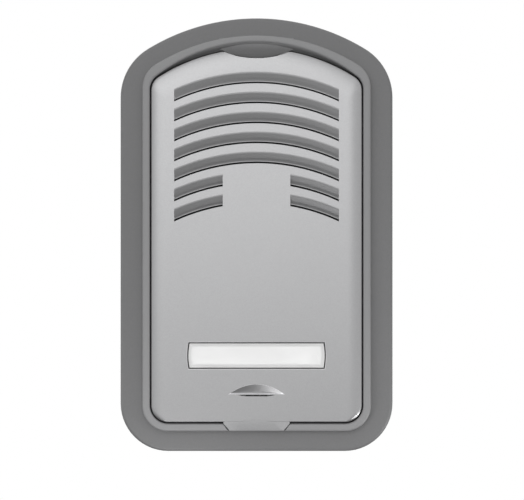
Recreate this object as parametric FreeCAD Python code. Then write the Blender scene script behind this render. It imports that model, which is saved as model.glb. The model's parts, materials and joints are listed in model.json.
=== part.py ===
import FreeCAD, Part
import math
import os

os.makedirs("parts", exist_ok=True)

# Intercom door station for a wall, in millimetres.
# The origin is the centre of the wall-screw pattern, on the wall. Z is up and the front looks along -Y.
# A size whose name ends in _out is a distance from the wall, so it lies at Y = -out.

# Body outline: straight sides and bottom, a wide arc on top and rounded corners
body_width = 110.0
body_height = 175.0
body_arc_radius = 84.3
body_top_corner = 23.0
body_bottom_corner = 19.3
housing_wall = 2.5
housing_edge_round = 1.3
flange_out = 28.5
flange_thickness = 2.5

# Raised lip round the front plate
flange_side = 9.0
flange_top = 7.3
flange_bottom = 8.4
lip_width = 3.0
lip_rise = 3.5
lip_round = 0.9
lip_top_corner = 11.0
lip_bottom_corner = 10.0
lip_top_slope = 2.1
slope_depth = 4.6
lip_top_trim = 0.4
sleeve_depth = 19.0
opening_arc_radius = 74.1
opening_top_corner = 6.9
opening_bottom_corner = 7.4

# Lens-shaped tab on the housing, over the hook of the plate
tab_width = 30.0
tab_drop = 4.1
tab_thickness = 1.3
tab_sink = 3.5

# Front plate: a moulded tray with a crowned edge
plate_gap = 0.5
plate_proud = 0.5
plate_depth = 6.0
plate_skin = 1.8
plate_wall = 2.0
plate_crown = 2.9
notch_clearance = 0.4
notch_relief = 1.6
hook_clearance = 0.3
tongue_width = 26.6
tongue_end_width = 21.6
tongue_reach = 2.8
tongue_drop = 0.5
scoop_rise = 1.2
scoop_depth = 0.7

# Louvres: arched rows, each a tongue that slopes in to a narrow flat land and a slit along its lower edge
louvre_rows = 7
full_rows = 5
louvre_pitch = 8.05
louvre_radius = 79.0
louvre_width = 66.3
louvre_blank = 27.2
louvre_band = 4.2
louvre_slit = 0.8
louvre_depth = 1.9
louvre_tongue = 1.0
louvre_land = 0.45
louvre_edge_round = 0.4
louvre_end_wall = 1.1
first_slit_drop = 26.2

# Crescent microphone port, with a slit just under its lower edge and a short way through in the middle
mic_port_width = 22.6
mic_port_rise = 4.1
mic_port_depth = 1.7
mic_port_lean = 40.0
mic_port_base = 23.15
mic_port_edge = 0.1
mic_slit_width = 13.2
mic_slit = 0.65
mic_slit_depth = 1.0
mic_way_width = 5.0
mic_pad = 1.2

# Name window, which is the call push
window_width = 55.7
window_height = 10.6
window_bulge = 0.5
window_centre_rise = 38.8
window_gap = 0.4
window_proud = 0.3
lens_wall = 1.2
lens_round = 0.45
card_thickness = 0.3
carrier_clearance = 0.15
carrier_flange = 1.6
carrier_flange_thickness = 1.4
carrier_flange_gap = 0.05
carrier_pocket_wall = 1.3
carrier_skin = 0.9
guide_wall = 1.4
guide_clearance = 0.35
guide_depth = 5.0
button_travel = 1.2
stem_radius = 2.4
stem_gap = 0.05

# Wall base and its fixings
base_thickness = 2.5
base_clearance = 0.3
base_rim = 1.8
base_rim_depth = 7.0
gasket_thickness = 1.5
gasket_inset = 0.35
wall_hole_spacing_x = 60.0
wall_hole_spacing_z = 120.0
wall_hole_radius = 2.25
wall_hole_pad_radius = 6.0
wall_hole_pad = 1.5
cable_entry_height = -6.0
cable_entry_radius = 9.0
cable_radius = 3.5
grommet_flange = 2.0
grommet_flange_thickness = 1.6
grommet_depth = 7.0
grommet_collar = 1.6
grommet_wall_step = 1.0
housing_screw_inset = 17.4
housing_screw_drop = 35.5
housing_screw_rise = 23.5
pillar_radius = 4.2
ear_radius = 4.9
ear_out = 13.0
ear_thickness = 3.0
screw_hole_clearance = 0.2
base_ribs = 5
base_rib_thickness = 1.4
base_rib_height = 1.6
housing_ribs_side = 4
housing_rib_thickness = 1.6

# Screws: pan heads with a cross recess
screw_radius = 1.45
screw_head_radius = 2.8
screw_head_height = 1.9
screw_recess = 1.1
housing_screw_length = 9.0
board_screw_length = 7.0
clamp_screw_length = 4.4
lock_screw_radius = 1.5
lock_screw_head_radius = 2.75
lock_screw_head_height = 2.6
lock_hex_width = 2.0
lock_boss_radius = 4.2
lock_screw_back_off = 0.3
lock_out = 24.0
lock_recess = 0.6
lock_lug_width = 8.0
lock_lug_height = 3.4
running_gap = 0.2
pilot_gap = 0.05

# Seal between the plate and its ledge
ledge_width = 2.2
ledge_thickness = 2.0
ledge_top_drop = 31.5
seal_thickness = 1.0
seal_width = 1.6

# Speaker, a round film loudspeaker seated behind the louvres
speaker_drop = 53.0
speaker_radius = 28.5
speaker_seat_width = 2.6
speaker_seat_clearance = 0.2
cloth_thickness = 0.3
speaker_gasket_thickness = 1.0
speaker_flange_thickness = 1.0
speaker_cup_radius = 25.0
speaker_cup_depth = 4.4
basket_wall = 0.8
magnet_radius = 9.0
magnet_depth = 4.5
top_plate_thickness = 1.5
voice_coil_wall = 0.5
voice_coil_depth = 6.0
diaphragm_thickness = 0.25
diaphragm_rise = 0.9
film_step = 0.5
film_rim = 1.4
basket_shoulder = 1.6
yoke_floor = 2.0
yoke_wall = 2.2
coil_gap = 0.35
coil_glue = 0.02
tag_spacing = 5.0
tag_thickness = 1.2
tag_height = 3.2
basket_windows = 6
basket_window_radius = 2.4
clamp_turn = 117.0
clamp_thickness = 1.2
clamp_boss_radius = 2.9
clamp_boss_gap = 0.4
clamp_finger = 2.2

# Circuit board behind the window, on four posts of the plate. The places of the parts on it
# are given from its middle across and from its lower edge up.
board_side_gap = 5.5
board_speaker_gap = 4.4
board_bottom_rise = 29.1
board_thickness = 1.6
board_out = 20.0
board_hole_inset = 4.0
board_hole_radius = 1.7
board_corner = 2.0
post_radius = 3.0
switch_size = 6.2
switch_body_height = 3.6
switch_plunger_radius = 1.75
switch_plunger_clearance = 0.05
switch_floor = 0.3
plunger_rise = 2.5
led_count = 4
led_width = 3.0
led_height = 1.4
led_spacing = 12.0
spring_offset = 24.3
spring_radius = 2.4
spring_wire = 0.3
spring_pin = 4.0
spring_turns = 5
spring_seat_clearance = 0.25
trimmer_size = 7.0
trimmer_height = 3.6
trimmer_rotor_radius = 2.6
trimmer_rotor_height = 1.6
trimmer_clearance = 0.06
trimmer_slot = 0.8
trimmer_spacing = 14.0
trimmer_row_rise = 6.4
terminal_ways = 5
terminal_pitch = 5.08
terminal_depth = 8.2
terminal_height = 9.0
terminal_chamfer = 1.6
terminal_row_drop = 9.6
terminal_bore_radius = 1.8
terminal_sink = 0.5
terminal_screw_length = 4.0
terminal_slot_depth = 1.0
wire_mouth = 2.8
chip_length = 10.0
chip_width = 6.4
chip_height = 3.2
chip_leads = 4
chip_leg = 0.4
chip_stand = 0.5
chip_place = (-20.0, 21.9)
capacitor_radii = (3.2, 2.5, 2.5)
capacitor_heights = (7.0, 6.0, 6.0)
capacitor_step = 8.0
capacitor_round = 0.5
capacitor_place = (8.0, 23.9)
resistor_count = 6
resistor_length = 6.0
resistor_radius = 1.1
resistor_step = 3.6
resistor_place = (9.0, 15.4)

# Microphone behind the crescent port
mic_radius = 3.0
mic_depth = 5.2
mic_can_wall = 0.4
boot_wall = 1.3
boot_lip = 1.2
cup_wall = 1.2
cup_depth = 6.2

# Leads between the board, the speaker and the microphone
lead_radius = 0.5
lead_bend = 2.6
lead_loop = 3.0
lead_inset = 2.4

TOWARD_WALL = FreeCAD.Vector(0, 1, 0)
UP = FreeCAD.Vector(0, 0, 1)
RIGHT = FreeCAD.Vector(1, 0, 0)
over = 1.0


def at(x, out, z):
    """A point given by its distance from the wall."""
    return FreeCAD.Vector(x, -out, z)


def line(start, end):
    return Part.LineSegment(start, end).toShape()


def arc(start, middle, end):
    return Part.Arc(start, middle, end).toShape()


def block(x_low, x_high, out_low, out_high, z_low, z_high):
    corner = at(x_low, out_high, z_low)
    return Part.makeBox(x_high - x_low, out_high - out_low, z_high - z_low, corner)


def rod(x, z, radius, out_low, out_high):
    """A round bar square to the wall."""
    return Part.makeCylinder(radius, out_high - out_low, at(x, out_high, z), TOWARD_WALL)


def tube(x, z, inner, outer, out_low, out_high):
    return rod(x, z, outer, out_low, out_high).cut(rod(x, z, inner, out_low - over, out_high + over))


def turned(profile, x, z):
    """A full turn of a closed profile of (radius, out) points about an axis square to the wall."""
    points = [at(x + radius, out, z) for radius, out in profile]
    face = Part.Face(Part.makePolygon(points + points[:1]))
    return face.revolve(at(x, 0, z), TOWARD_WALL, 360)


def prism(wire, depth):
    """A flat closed wire carried towards the wall."""
    return Part.Face(wire).extrude(TOWARD_WALL * depth)


def fuse(shapes):
    shapes = list(shapes)
    if len(shapes) == 1:
        return shapes[0]
    return shapes[0].multiFuse(shapes[1:]).removeSplitter()


def edges_in_front_plane(shape, out):
    """The edges that lie flat at one distance from the wall."""
    flat = 1e-4
    chosen = []
    for edge in shape.Edges:
        box = edge.BoundBox
        if abs(box.YMin + out) < flat and abs(box.YMax + out) < flat:
            chosen.append(edge)
    return chosen


def arched(half_width, bottom, top, arc_radius, top_corner, bottom_corner):
    """An upright outline with a wide arc on top and four rounded corners."""
    return {
        "half_width": half_width,
        "bottom": bottom,
        "centre": top - arc_radius,
        "radius": arc_radius,
        "top_corner": top_corner,
        "bottom_corner": bottom_corner,
    }


def inset(outline, distance):
    """The outline moved in by a distance. Its arcs keep their centres."""
    return {
        "half_width": outline["half_width"] - distance,
        "bottom": outline["bottom"] + distance,
        "centre": outline["centre"],
        "radius": outline["radius"] - distance,
        "top_corner": outline["top_corner"] - distance,
        "bottom_corner": outline["bottom_corner"] - distance,
    }


def outline_wire(outline, out):
    side = outline["half_width"]
    bottom = outline["bottom"]
    centre = outline["centre"]
    radius = outline["radius"]
    upper = outline["top_corner"]
    lower = outline["bottom_corner"]

    corner_x = side - upper
    corner_z = centre + math.sqrt((radius - upper) ** 2 - corner_x ** 2)
    reach = radius / (radius - upper)
    meet_x = corner_x * reach
    meet_z = centre + (corner_z - centre) * reach
    turn = math.atan2(meet_z - corner_z, meet_x - corner_x) / 2
    bend_x = corner_x + upper * math.cos(turn)
    bend_z = corner_z + upper * math.sin(turn)
    slant = lower * (1 - math.sqrt(0.5))

    return Part.Wire([
        line(at(side, out, bottom + lower), at(side, out, corner_z)),
        arc(at(side, out, corner_z), at(bend_x, out, bend_z), at(meet_x, out, meet_z)),
        arc(at(meet_x, out, meet_z), at(0, out, centre + radius), at(-meet_x, out, meet_z)),
        arc(at(-meet_x, out, meet_z), at(-bend_x, out, bend_z), at(-side, out, corner_z)),
        line(at(-side, out, corner_z), at(-side, out, bottom + lower)),
        arc(
            at(-side, out, bottom + lower),
            at(slant - side, out, bottom + slant),
            at(lower - side, out, bottom),
        ),
        line(at(lower - side, out, bottom), at(side - lower, out, bottom)),
        arc(
            at(side - lower, out, bottom),
            at(side - slant, out, bottom + slant),
            at(side, out, bottom + lower),
        ),
    ])


def slab(outline, out_low, out_high):
    return prism(outline_wire(outline, out_high), out_high - out_low)


def band(outer, inner, out_low, out_high):
    """The ring between two outlines."""
    return slab(outer, out_low, out_high).cut(slab(inner, out_low - over, out_high + over))


def window_wire(width, height, bulge, out):
    """The name window's outline: straight top and bottom, ends that swell by the bulge."""
    half = width / 2
    rise = height / 2
    low = window_centre_height - rise
    high = window_centre_height + rise
    return Part.Wire([
        line(at(bulge - half, out, low), at(half - bulge, out, low)),
        arc(at(half - bulge, out, low), at(half, out, window_centre_height), at(half - bulge, out, high)),
        line(at(half - bulge, out, high), at(bulge - half, out, high)),
        arc(at(bulge - half, out, high), at(-half, out, window_centre_height), at(bulge - half, out, low)),
    ])


def window_slab(grown, out_low, out_high):
    """A block of the window's outline, grown by a margin all round."""
    wire = window_wire(window_width + 2 * grown, window_height + 2 * grown, window_bulge, out_high)
    return prism(wire, out_high - out_low)


def scoop(out_front, top, bottom, depth, width, lean):
    """A cutter for a crescent: a round bar that slopes in from its top point to its lower edge.

    Its lower face rises inward by the lean, in degrees, so that it faces forward and up.
    """
    rise = top - bottom
    start = at(0, out_front, top)
    slope = (at(0, out_front - depth, bottom) - start).normalize()
    sink = depth * rise / math.hypot(depth, rise)
    radius = ((width / 2) ** 2 + sink ** 2) / (2 * sink)
    outward = slope.cross(RIGHT)
    bar = Part.makeCylinder(radius, 3 * rise, start + outward * radius - slope * rise, slope)
    climb = math.tan(math.radians(lean))
    side_view = [
        at(-width, out_front + over, bottom - over * climb),
        at(-width, out_front - 2 * depth, bottom + 2 * depth * climb),
        at(-width, out_front - 2 * depth, top + rise), at(-width, out_front + over, top + rise),
    ]
    room = Part.Face(Part.makePolygon(side_view + side_view[:1])).extrude(RIGHT * (2 * width))
    return bar.common(room)


def pan_screw(x, z, head_out, length, way):
    """A pan-head screw with a cross recess, bearing at head_out. Way is 1 for a head to the front."""
    head_top = head_out + way * screw_head_height
    tip = head_out - way * length
    shank = rod(x, z, screw_radius, min(head_out, tip), max(head_out, tip))
    head = rod(x, z, screw_head_radius, min(head_out, head_top), max(head_out, head_top))
    rim = edges_in_front_plane(head, head_top)
    head = head.makeFillet(screw_head_height * 0.4, rim)
    slot_half = screw_head_radius * 0.6
    slot_side = screw_radius * 0.25
    floor = head_top - way * screw_recess
    low = min(floor, head_top + way * over)
    high = max(floor, head_top + way * over)
    cross = block(x - slot_half, x + slot_half, low, high, z - slot_side, z + slot_side)
    cross = cross.fuse(block(x - slot_side, x + slot_side, low, high, z - slot_half, z + slot_half))
    return shank.fuse(head).cut(cross)


def lead(points, radius, bend):
    """A wire along straight runs joined by tangent arcs."""
    edges = []
    start = points[0]
    for before, corner, after in zip(points, points[1:], points[2:]):
        arriving = (corner - before).normalize()
        leaving = (after - corner).normalize()
        turn = arriving.getAngle(leaving)
        setback = bend * math.tan(turn / 2)
        first = corner - arriving * setback
        last = corner + leaving * setback
        inward = (leaving - arriving).normalize()
        middle = corner + inward * (bend / math.cos(turn / 2) - bend)
        edges.append(line(start, first))
        edges.append(arc(first, middle, last))
        start = last
    edges.append(line(start, points[-1]))
    path = Part.Wire(edges)
    section = Part.Wire(Part.makeCircle(radius, points[0], points[1] - points[0]))
    return path.makePipeShell([section], True, False)


NODES = {}


def keep(name, *solids):
    """Writes one sub-part. Several solids share a node only where they are alike."""
    shape = solids[0] if len(solids) == 1 else Part.makeCompound(list(solids))
    NODES[name] = shape
    shape.exportStep(os.path.join("parts", name + ".step"))

# Outlines and levels that several pieces share
half_height = body_height / 2
lip_out = flange_out + lip_rise
plate_out = lip_out + plate_proud
skin_back_out = plate_out - plate_skin
plate_back_out = plate_out - plate_depth
sleeve_back_out = lip_out - sleeve_depth
lip_half_width = body_width / 2 - flange_side
lip_bottom = flange_bottom - half_height
lip_top = half_height - flange_top
opening_half_width = lip_half_width - lip_width
opening_bottom = lip_bottom + lip_width
opening_top = lip_top - lip_width - lip_top_slope + lip_top_trim
ledge_top_height = half_height - ledge_top_drop
first_slit_height = half_height - first_slit_drop
speaker_height = half_height - speaker_drop
window_centre_height = window_centre_rise - half_height
mic_port_height = mic_port_base - half_height

body = arched(
    body_width / 2, -half_height, half_height, body_arc_radius, body_top_corner, body_bottom_corner
)
lip = arched(
    lip_half_width, lip_bottom, lip_top, body_arc_radius - flange_top, lip_top_corner, lip_bottom_corner
)
opening = arched(
    opening_half_width, opening_bottom, opening_top,
    opening_arc_radius, opening_top_corner, opening_bottom_corner,
)
plate = inset(opening, plate_gap)
hollow = inset(body, housing_wall)

tab_low = opening_top - tab_drop
grommet_outer = cable_entry_radius + grommet_flange
slope_start_out = lip_out - slope_depth
tab_back_out = lip_out - tab_sink
hook_front_out = tab_back_out - hook_clearance
seal_back_out = plate_back_out - seal_thickness
ledge_back_out = seal_back_out - ledge_thickness
housing_screw_x = body_width / 2 - housing_screw_inset
ear_places = [
    (side * housing_screw_x, height)
    for side in (-1, 1)
    for height in (half_height - housing_screw_drop, housing_screw_rise - half_height)
]


def shoulder_height(outline):
    """Where the straight side of an outline ends and its upper corner starts."""
    run = outline["half_width"] - outline["top_corner"]
    reach = outline["radius"] - outline["top_corner"]
    return outline["centre"] + math.sqrt(reach ** 2 - run ** 2)


def sloped_opening(out):
    """The opening on the sloping inner wall of the lip: its top arc rises, its sides stay."""
    rise = lip_top_slope * (out - slope_start_out) / slope_depth
    chord = opening["half_width"]
    shoulder = opening["centre"] + math.sqrt(opening["radius"] ** 2 - chord ** 2)
    sagitta = opening_top + rise - shoulder
    radius = (chord ** 2 + sagitta ** 2) / (2 * sagitta)
    return arched(
        chord, opening_bottom, opening_top + rise, radius, opening_top_corner, opening_bottom_corner
    )


def lens_block(grown, out_low, out_high):
    """The top tab's outline: a hanging arc whose tips meet the lip's wall, carried up past the lip."""
    half = tab_width / 2 + grown
    wall = sloped_opening(tab_back_out + tab_thickness)
    tip = wall["centre"] + math.sqrt(wall["radius"] ** 2 - (tab_width / 2) ** 2) - grown
    roof = lip_top - lip_round
    wire = Part.Wire([
        arc(at(-half, out_high, tip), at(0, out_high, tab_low - grown), at(half, out_high, tip)),
        line(at(half, out_high, tip), at(half, out_high, roof)),
        line(at(half, out_high, roof), at(-half, out_high, roof)),
        line(at(-half, out_high, roof), at(-half, out_high, tip)),
    ])
    return prism(wire, out_high - out_low)


def tongue_block(grown, out_low, out_high):
    """The bottom tongue's outline: a short trapezium across the lip."""
    near = tongue_width / 2 + grown
    far = tongue_end_width / 2 + grown
    start = opening_bottom + plate_gap + opening_bottom_corner / 2
    knee = opening_bottom
    end = opening_bottom - tongue_reach - grown
    points = [
        at(-near, out_high, start), at(near, out_high, start), at(near, out_high, knee),
        at(far, out_high, end), at(-far, out_high, end), at(-near, out_high, knee),
    ]
    return prism(Part.makePolygon(points + points[:1]), out_high - out_low)


def lip_ring():
    ring = slab(lip, sleeve_back_out, lip_out)
    ring = ring.cut(slab(opening, sleeve_back_out - over, lip_out + over))
    low = outline_wire(sloped_opening(slope_start_out), slope_start_out)
    high = outline_wire(sloped_opening(lip_out + over), lip_out + over)
    ring = ring.cut(Part.makeLoft([low, high], True, True))
    return ring.makeFillet(lip_round, edges_in_front_plane(ring, lip_out))


def top_tab():
    """A flat lens that hangs from the lip's sloping wall."""
    return lens_block(0, tab_back_out, tab_back_out + tab_thickness)


def housing_ribs():
    """Thin webs between the skirt and the sleeve of the lip."""
    low = sleeve_back_out
    high = flange_out - flange_thickness / 2
    room = band(inset(body, housing_wall / 2), inset(lip, lip_width / 2), low, high)
    half = housing_rib_thickness / 2
    bars = []
    straight = shoulder_height(lip) - lip_bottom - lip_bottom_corner
    step = straight / housing_ribs_side
    for number in range(housing_ribs_side):
        height = lip_bottom + lip_bottom_corner + step * (number + 0.5)
        bars.append(block(-body_width, body_width, low, high, height - half, height + half))
    for side in (-1, 1):
        x = side * lip_half_width / 2
        bars.append(block(x - half, x + half, low, high, -body_height, body_height))
    return [bar.common(room) for bar in bars]


def housing_ears():
    """Screw ears on the inside of the sleeve, over the pillars of the base."""
    ears = []
    for x, z in ear_places:
        side = math.copysign(1, x)
        wall = side * (opening_half_width + lip_width / 2)
        top = ear_out + ear_thickness
        web = block(min(x, wall), max(x, wall), ear_out, top, z - ear_radius, z + ear_radius)
        ears.append(web.fuse(rod(x, z, ear_radius, ear_out, top)))
    return ears


def surround_housing():
    skirt = slab(body, gasket_thickness, flange_out)
    skirt = skirt.makeFillet(housing_edge_round, edges_in_front_plane(skirt, flange_out))
    skirt = skirt.cut(slab(hollow, 0, flange_out - flange_thickness))
    skirt = skirt.cut(slab(opening, 0, flange_out + over))

    ledge = band(
        inset(opening, -lip_width / 2), inset(opening, ledge_width), ledge_back_out, seal_back_out
    )
    ledge = ledge.common(
        block(-body_width, body_width, 0, lip_out, -body_height, ledge_top_height)
    )
    lug_room = lock_lug_width / 2 + hook_clearance * 2
    ledge = ledge.cut(block(-lug_room, lug_room, 0, lip_out, opening_bottom, 0))

    boss_start = lip_bottom + lip_width / 2
    boss = Part.makeCylinder(
        lock_boss_radius, boss_start + half_height - housing_wall / 2,
        at(0, lock_out, housing_wall / 2 - half_height), UP,
    )
    pieces = [skirt, lip_ring(), ledge, top_tab(), boss] + housing_ribs() + housing_ears()
    shape = fuse(pieces)

    drill = Part.makeCylinder(
        lock_screw_radius + running_gap, body_height, at(0, lock_out, -body_height), UP
    )
    drill = drill.common(block(-over * 5, over * 5, 0, lip_out, -body_height, 0))
    counterbore = Part.makeCylinder(
        lock_screw_head_radius + screw_hole_clearance, lock_screw_head_height + lock_recess + over,
        at(0, lock_out, -half_height - over), UP,
    )
    cuts = [drill, counterbore, tongue_block(notch_clearance, skin_back_out - notch_clearance, plate_out)]
    for x, z in ear_places:
        cuts.append(rod(x, z, screw_radius + screw_hole_clearance, ear_out - over, lip_out))
    return shape.cut(Part.makeCompound(cuts))


def wall_base():
    """A tray inside the skirt, with pillars for the housing screws and holes for the wall screws."""
    outer = inset(hollow, base_clearance)
    inner = inset(outer, base_rim)
    plate_part = slab(outer, 0, base_thickness)
    rim = band(outer, inner, 0, base_thickness + base_rim_depth)
    pieces = [plate_part, rim]
    for x, z in ear_places:
        pieces.append(rod(x, z, pillar_radius, 0, ear_out))
    for x, z in wall_hole_places():
        pieces.append(rod(x, z, wall_hole_pad_radius, 0, base_thickness + wall_hole_pad))
    span = wall_hole_spacing_z - 4 * wall_hole_pad_radius
    for number in range(base_ribs):
        z = cable_entry_height + span * (number + 1) / (base_ribs + 1) - span / 2
        half = base_rib_thickness / 2
        rib = block(-body_width, body_width, 0, base_thickness + base_rib_height, z - half, z + half)
        pieces.append(rib.common(slab(inset(outer, base_rim / 2), 0, flange_out)))
    entry_pad = rod(0, cable_entry_height, grommet_outer + base_rim, 0, base_thickness)
    pieces.append(entry_pad)
    shape = fuse(pieces)

    floor_top = base_thickness
    clear = rod(0, cable_entry_height, grommet_outer + 2 * base_clearance, floor_top, flange_out)
    cuts = [clear, rod(0, cable_entry_height, cable_entry_radius, -over, flange_out)]
    cuts.append(rod(0, cable_entry_height, grommet_outer, -over, grommet_wall_step))
    for x, z in wall_hole_places():
        cuts.append(rod(x, z, wall_hole_radius, -over, flange_out))
    for x, z in ear_places:
        cuts.append(rod(x, z, screw_radius + pilot_gap, base_thickness, flange_out))
    return shape.cut(Part.makeCompound(cuts))


def wall_hole_places():
    return [
        (side * wall_hole_spacing_x / 2, level * wall_hole_spacing_z / 2)
        for side in (-1, 1)
        for level in (-1, 1)
    ]


def wall_gasket():
    """A foam ring under the skirt's back edge."""
    return band(inset(body, gasket_inset), hollow, 0, gasket_thickness)


def cable_grommet():
    """A rubber bush in the base: a lip each side of the floor and a collar round the cable."""
    profile = [
        (cable_radius, 0), (grommet_outer, 0), (grommet_outer, grommet_wall_step),
        (cable_entry_radius, grommet_wall_step), (cable_entry_radius, base_thickness),
        (grommet_outer, base_thickness),
        (grommet_outer - grommet_flange / 2, base_thickness + grommet_flange_thickness),
        (cable_radius + grommet_flange, base_thickness + grommet_flange_thickness),
        (cable_radius + grommet_collar, grommet_depth),
        (cable_radius, grommet_depth),
    ]
    return turned(profile, 0, cable_entry_height)


def housing_screws():
    head_out = ear_out + ear_thickness
    return [pan_screw(x, z, head_out, housing_screw_length, 1) for x, z in ear_places]


def plate_lock_screw():
    """A hex-socket screw from below, drawn backed off so that its tip is clear of the plate's lug."""
    tip = opening_bottom - lock_screw_back_off
    head_top = -half_height + lock_recess + lock_screw_head_height
    shank = Part.makeCylinder(lock_screw_radius, tip - head_top, at(0, lock_out, head_top), UP)
    head = Part.makeCylinder(
        lock_screw_head_radius, lock_screw_head_height, at(0, lock_out, -half_height + lock_recess), UP
    )
    corners = []
    for number in range(6):
        angle = math.radians(60 * number)
        reach = lock_hex_width / math.sqrt(3)
        x = reach * math.cos(angle)
        corners.append(at(x, lock_out + reach * math.sin(angle), -half_height))
    socket = Part.Face(Part.makePolygon(corners + corners[:1]))
    socket = socket.extrude(UP * (lock_recess + lock_screw_head_height / 2))
    return shank.fuse(head).cut(socket)


def plate_seal():
    """A soft strip on the ledge, round the sides and the bottom of the opening."""
    strip = band(
        inset(opening, base_clearance), inset(opening, base_clearance + seal_width),
        seal_back_out, plate_back_out,
    )
    strip = strip.common(block(-body_width, body_width, 0, lip_out, -body_height, ledge_top_height))
    lug_room = lock_lug_width / 2 + hook_clearance * 2
    gap = block(-lug_room, lug_room, 0, lip_out, opening_bottom, 0)
    return strip.cut(gap)

# Levels behind the plate, from the louvres back to the circuit board
seat_out = plate_out - louvre_depth - louvre_tongue - speaker_seat_clearance
cloth_back_out = seat_out - cloth_thickness
flange_front_out = cloth_back_out - speaker_gasket_thickness
flange_back_out = flange_front_out - speaker_flange_thickness
board_back_out = board_out - board_thickness
board_width = 2 * (opening_half_width - board_side_gap)
board_top_height = speaker_height - speaker_radius - board_speaker_gap
board_bottom_height = board_bottom_rise - half_height
terminal_row_height = board_top_height - terminal_row_drop
trimmer_row_height = board_bottom_height + trimmer_row_rise
clamp_ring = speaker_radius + clamp_boss_gap + clamp_boss_radius
mic_height = mic_port_height
boot_radius = mic_radius + boot_wall
mic_pad_out = skin_back_out - mic_pad
cup_back_out = mic_pad_out - cup_depth
carrier_front_out = skin_back_out - carrier_flange_gap
carrier_back_out = carrier_front_out - carrier_flange_thickness
lens_out = plate_out + window_proud
switch_top_out = board_out + switch_body_height
plunger_top_out = switch_top_out + plunger_rise

board_posts = [
    (side * (board_width / 2 - board_hole_inset), height)
    for side in (-1, 1)
    for height in (board_top_height - board_hole_inset, board_bottom_height + board_hole_inset)
]
clamp_places = [
    (
        clamp_ring * math.sin(math.radians(angle)),
        speaker_height + clamp_ring * math.cos(math.radians(angle)),
    )
    for angle in (0, clamp_turn, -clamp_turn)
]


def louvre_face(points):
    return Part.Face(Part.Wire(points))


def louvre_sweep(face, centre_height):
    """Carries a louvre section round its arc, wide enough for the end walls."""
    half_angle = math.degrees(math.asin((louvre_width / 2 + 3 * louvre_end_wall) / louvre_radius))
    half_angle += louvre_end_wall
    centre = at(0, 0, centre_height)
    face.rotate(centre, TOWARD_WALL, -half_angle)
    return face.revolve(centre, TOWARD_WALL, 2 * half_angle)


def louvre_cut(centre_height):
    """The recess of one row, its outer edge rounded over, with a land and the slit at its lower edge."""
    low = centre_height + louvre_radius - louvre_slit / 2
    shelf = low + louvre_slit + louvre_land
    top = shelf + louvre_band - louvre_land
    floor = plate_out - louvre_depth
    slope = math.atan2(louvre_depth, louvre_band - louvre_land)
    turn = louvre_edge_round / math.tan(slope / 2)
    start_z = top - louvre_edge_round * math.cos(slope)
    start_out = plate_out - louvre_edge_round * math.sin(slope)
    end_z = top + louvre_edge_round
    middle_z = end_z - turn * math.sin(slope / 2)
    middle_out = plate_out - turn * (1 - math.cos(slope / 2))
    return louvre_face([
        line(at(0, plate_out + over, low), at(0, floor, low)),
        line(at(0, floor, low), at(0, floor, shelf)),
        line(at(0, floor, shelf), at(0, start_out, start_z)),
        arc(at(0, start_out, start_z), at(0, middle_out, middle_z), at(0, plate_out, end_z)),
        line(at(0, plate_out, end_z), at(0, plate_out + over, end_z)),
        line(at(0, plate_out + over, end_z), at(0, plate_out + over, low)),
    ])


def louvre_back(centre_height):
    """The tongue behind the skin, that follows the slope at an even thickness."""
    edge = centre_height + louvre_radius + louvre_slit / 2
    tip = plate_out - louvre_depth - louvre_tongue
    bend = edge + louvre_land
    root = bend + (skin_back_out - tip) * (louvre_band - louvre_land) / louvre_depth
    points = [
        at(0, skin_back_out + over / 4, edge), at(0, tip, edge), at(0, tip, bend),
        at(0, skin_back_out, root), at(0, skin_back_out + over / 4, root),
    ]
    return Part.Face(Part.makePolygon(points + points[:1]))


def louvre_slot(centre_height):
    low = centre_height + louvre_radius - louvre_slit / 2
    tip = plate_out - louvre_depth - louvre_tongue - louvre_slit / 4
    points = [
        at(0, plate_out + over, low), at(0, tip, low),
        at(0, tip, low + louvre_slit), at(0, plate_out + over, low + louvre_slit),
    ]
    return Part.Face(Part.makePolygon(points + points[:1]))


def louvre_bands(margin, row):
    """Side-to-side limits of a row: one band, or two either side of the blank centre."""
    half = louvre_width / 2 + margin
    if row < full_rows:
        limits = [(-half, half)]
    else:
        inner = louvre_blank / 2 - margin
        limits = [(-half, -inner), (inner, half)]
    return [
        block(low, high, 0, plate_out + 2 * over, -body_height, body_height) for low, high in limits
    ]


def louvre_rows_of(section, margin):
    """Every row of one louvre feature, made once and moved down by the pitch."""
    first = first_slit_height - louvre_radius
    whole = louvre_sweep(section(first), first)
    shapes = []
    for row in range(louvre_rows):
        for limit in louvre_bands(margin, row):
            piece = whole.translated(FreeCAD.Vector(0, 0, -louvre_pitch * row))
            shapes.append(piece.common(limit))
    return shapes


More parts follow.
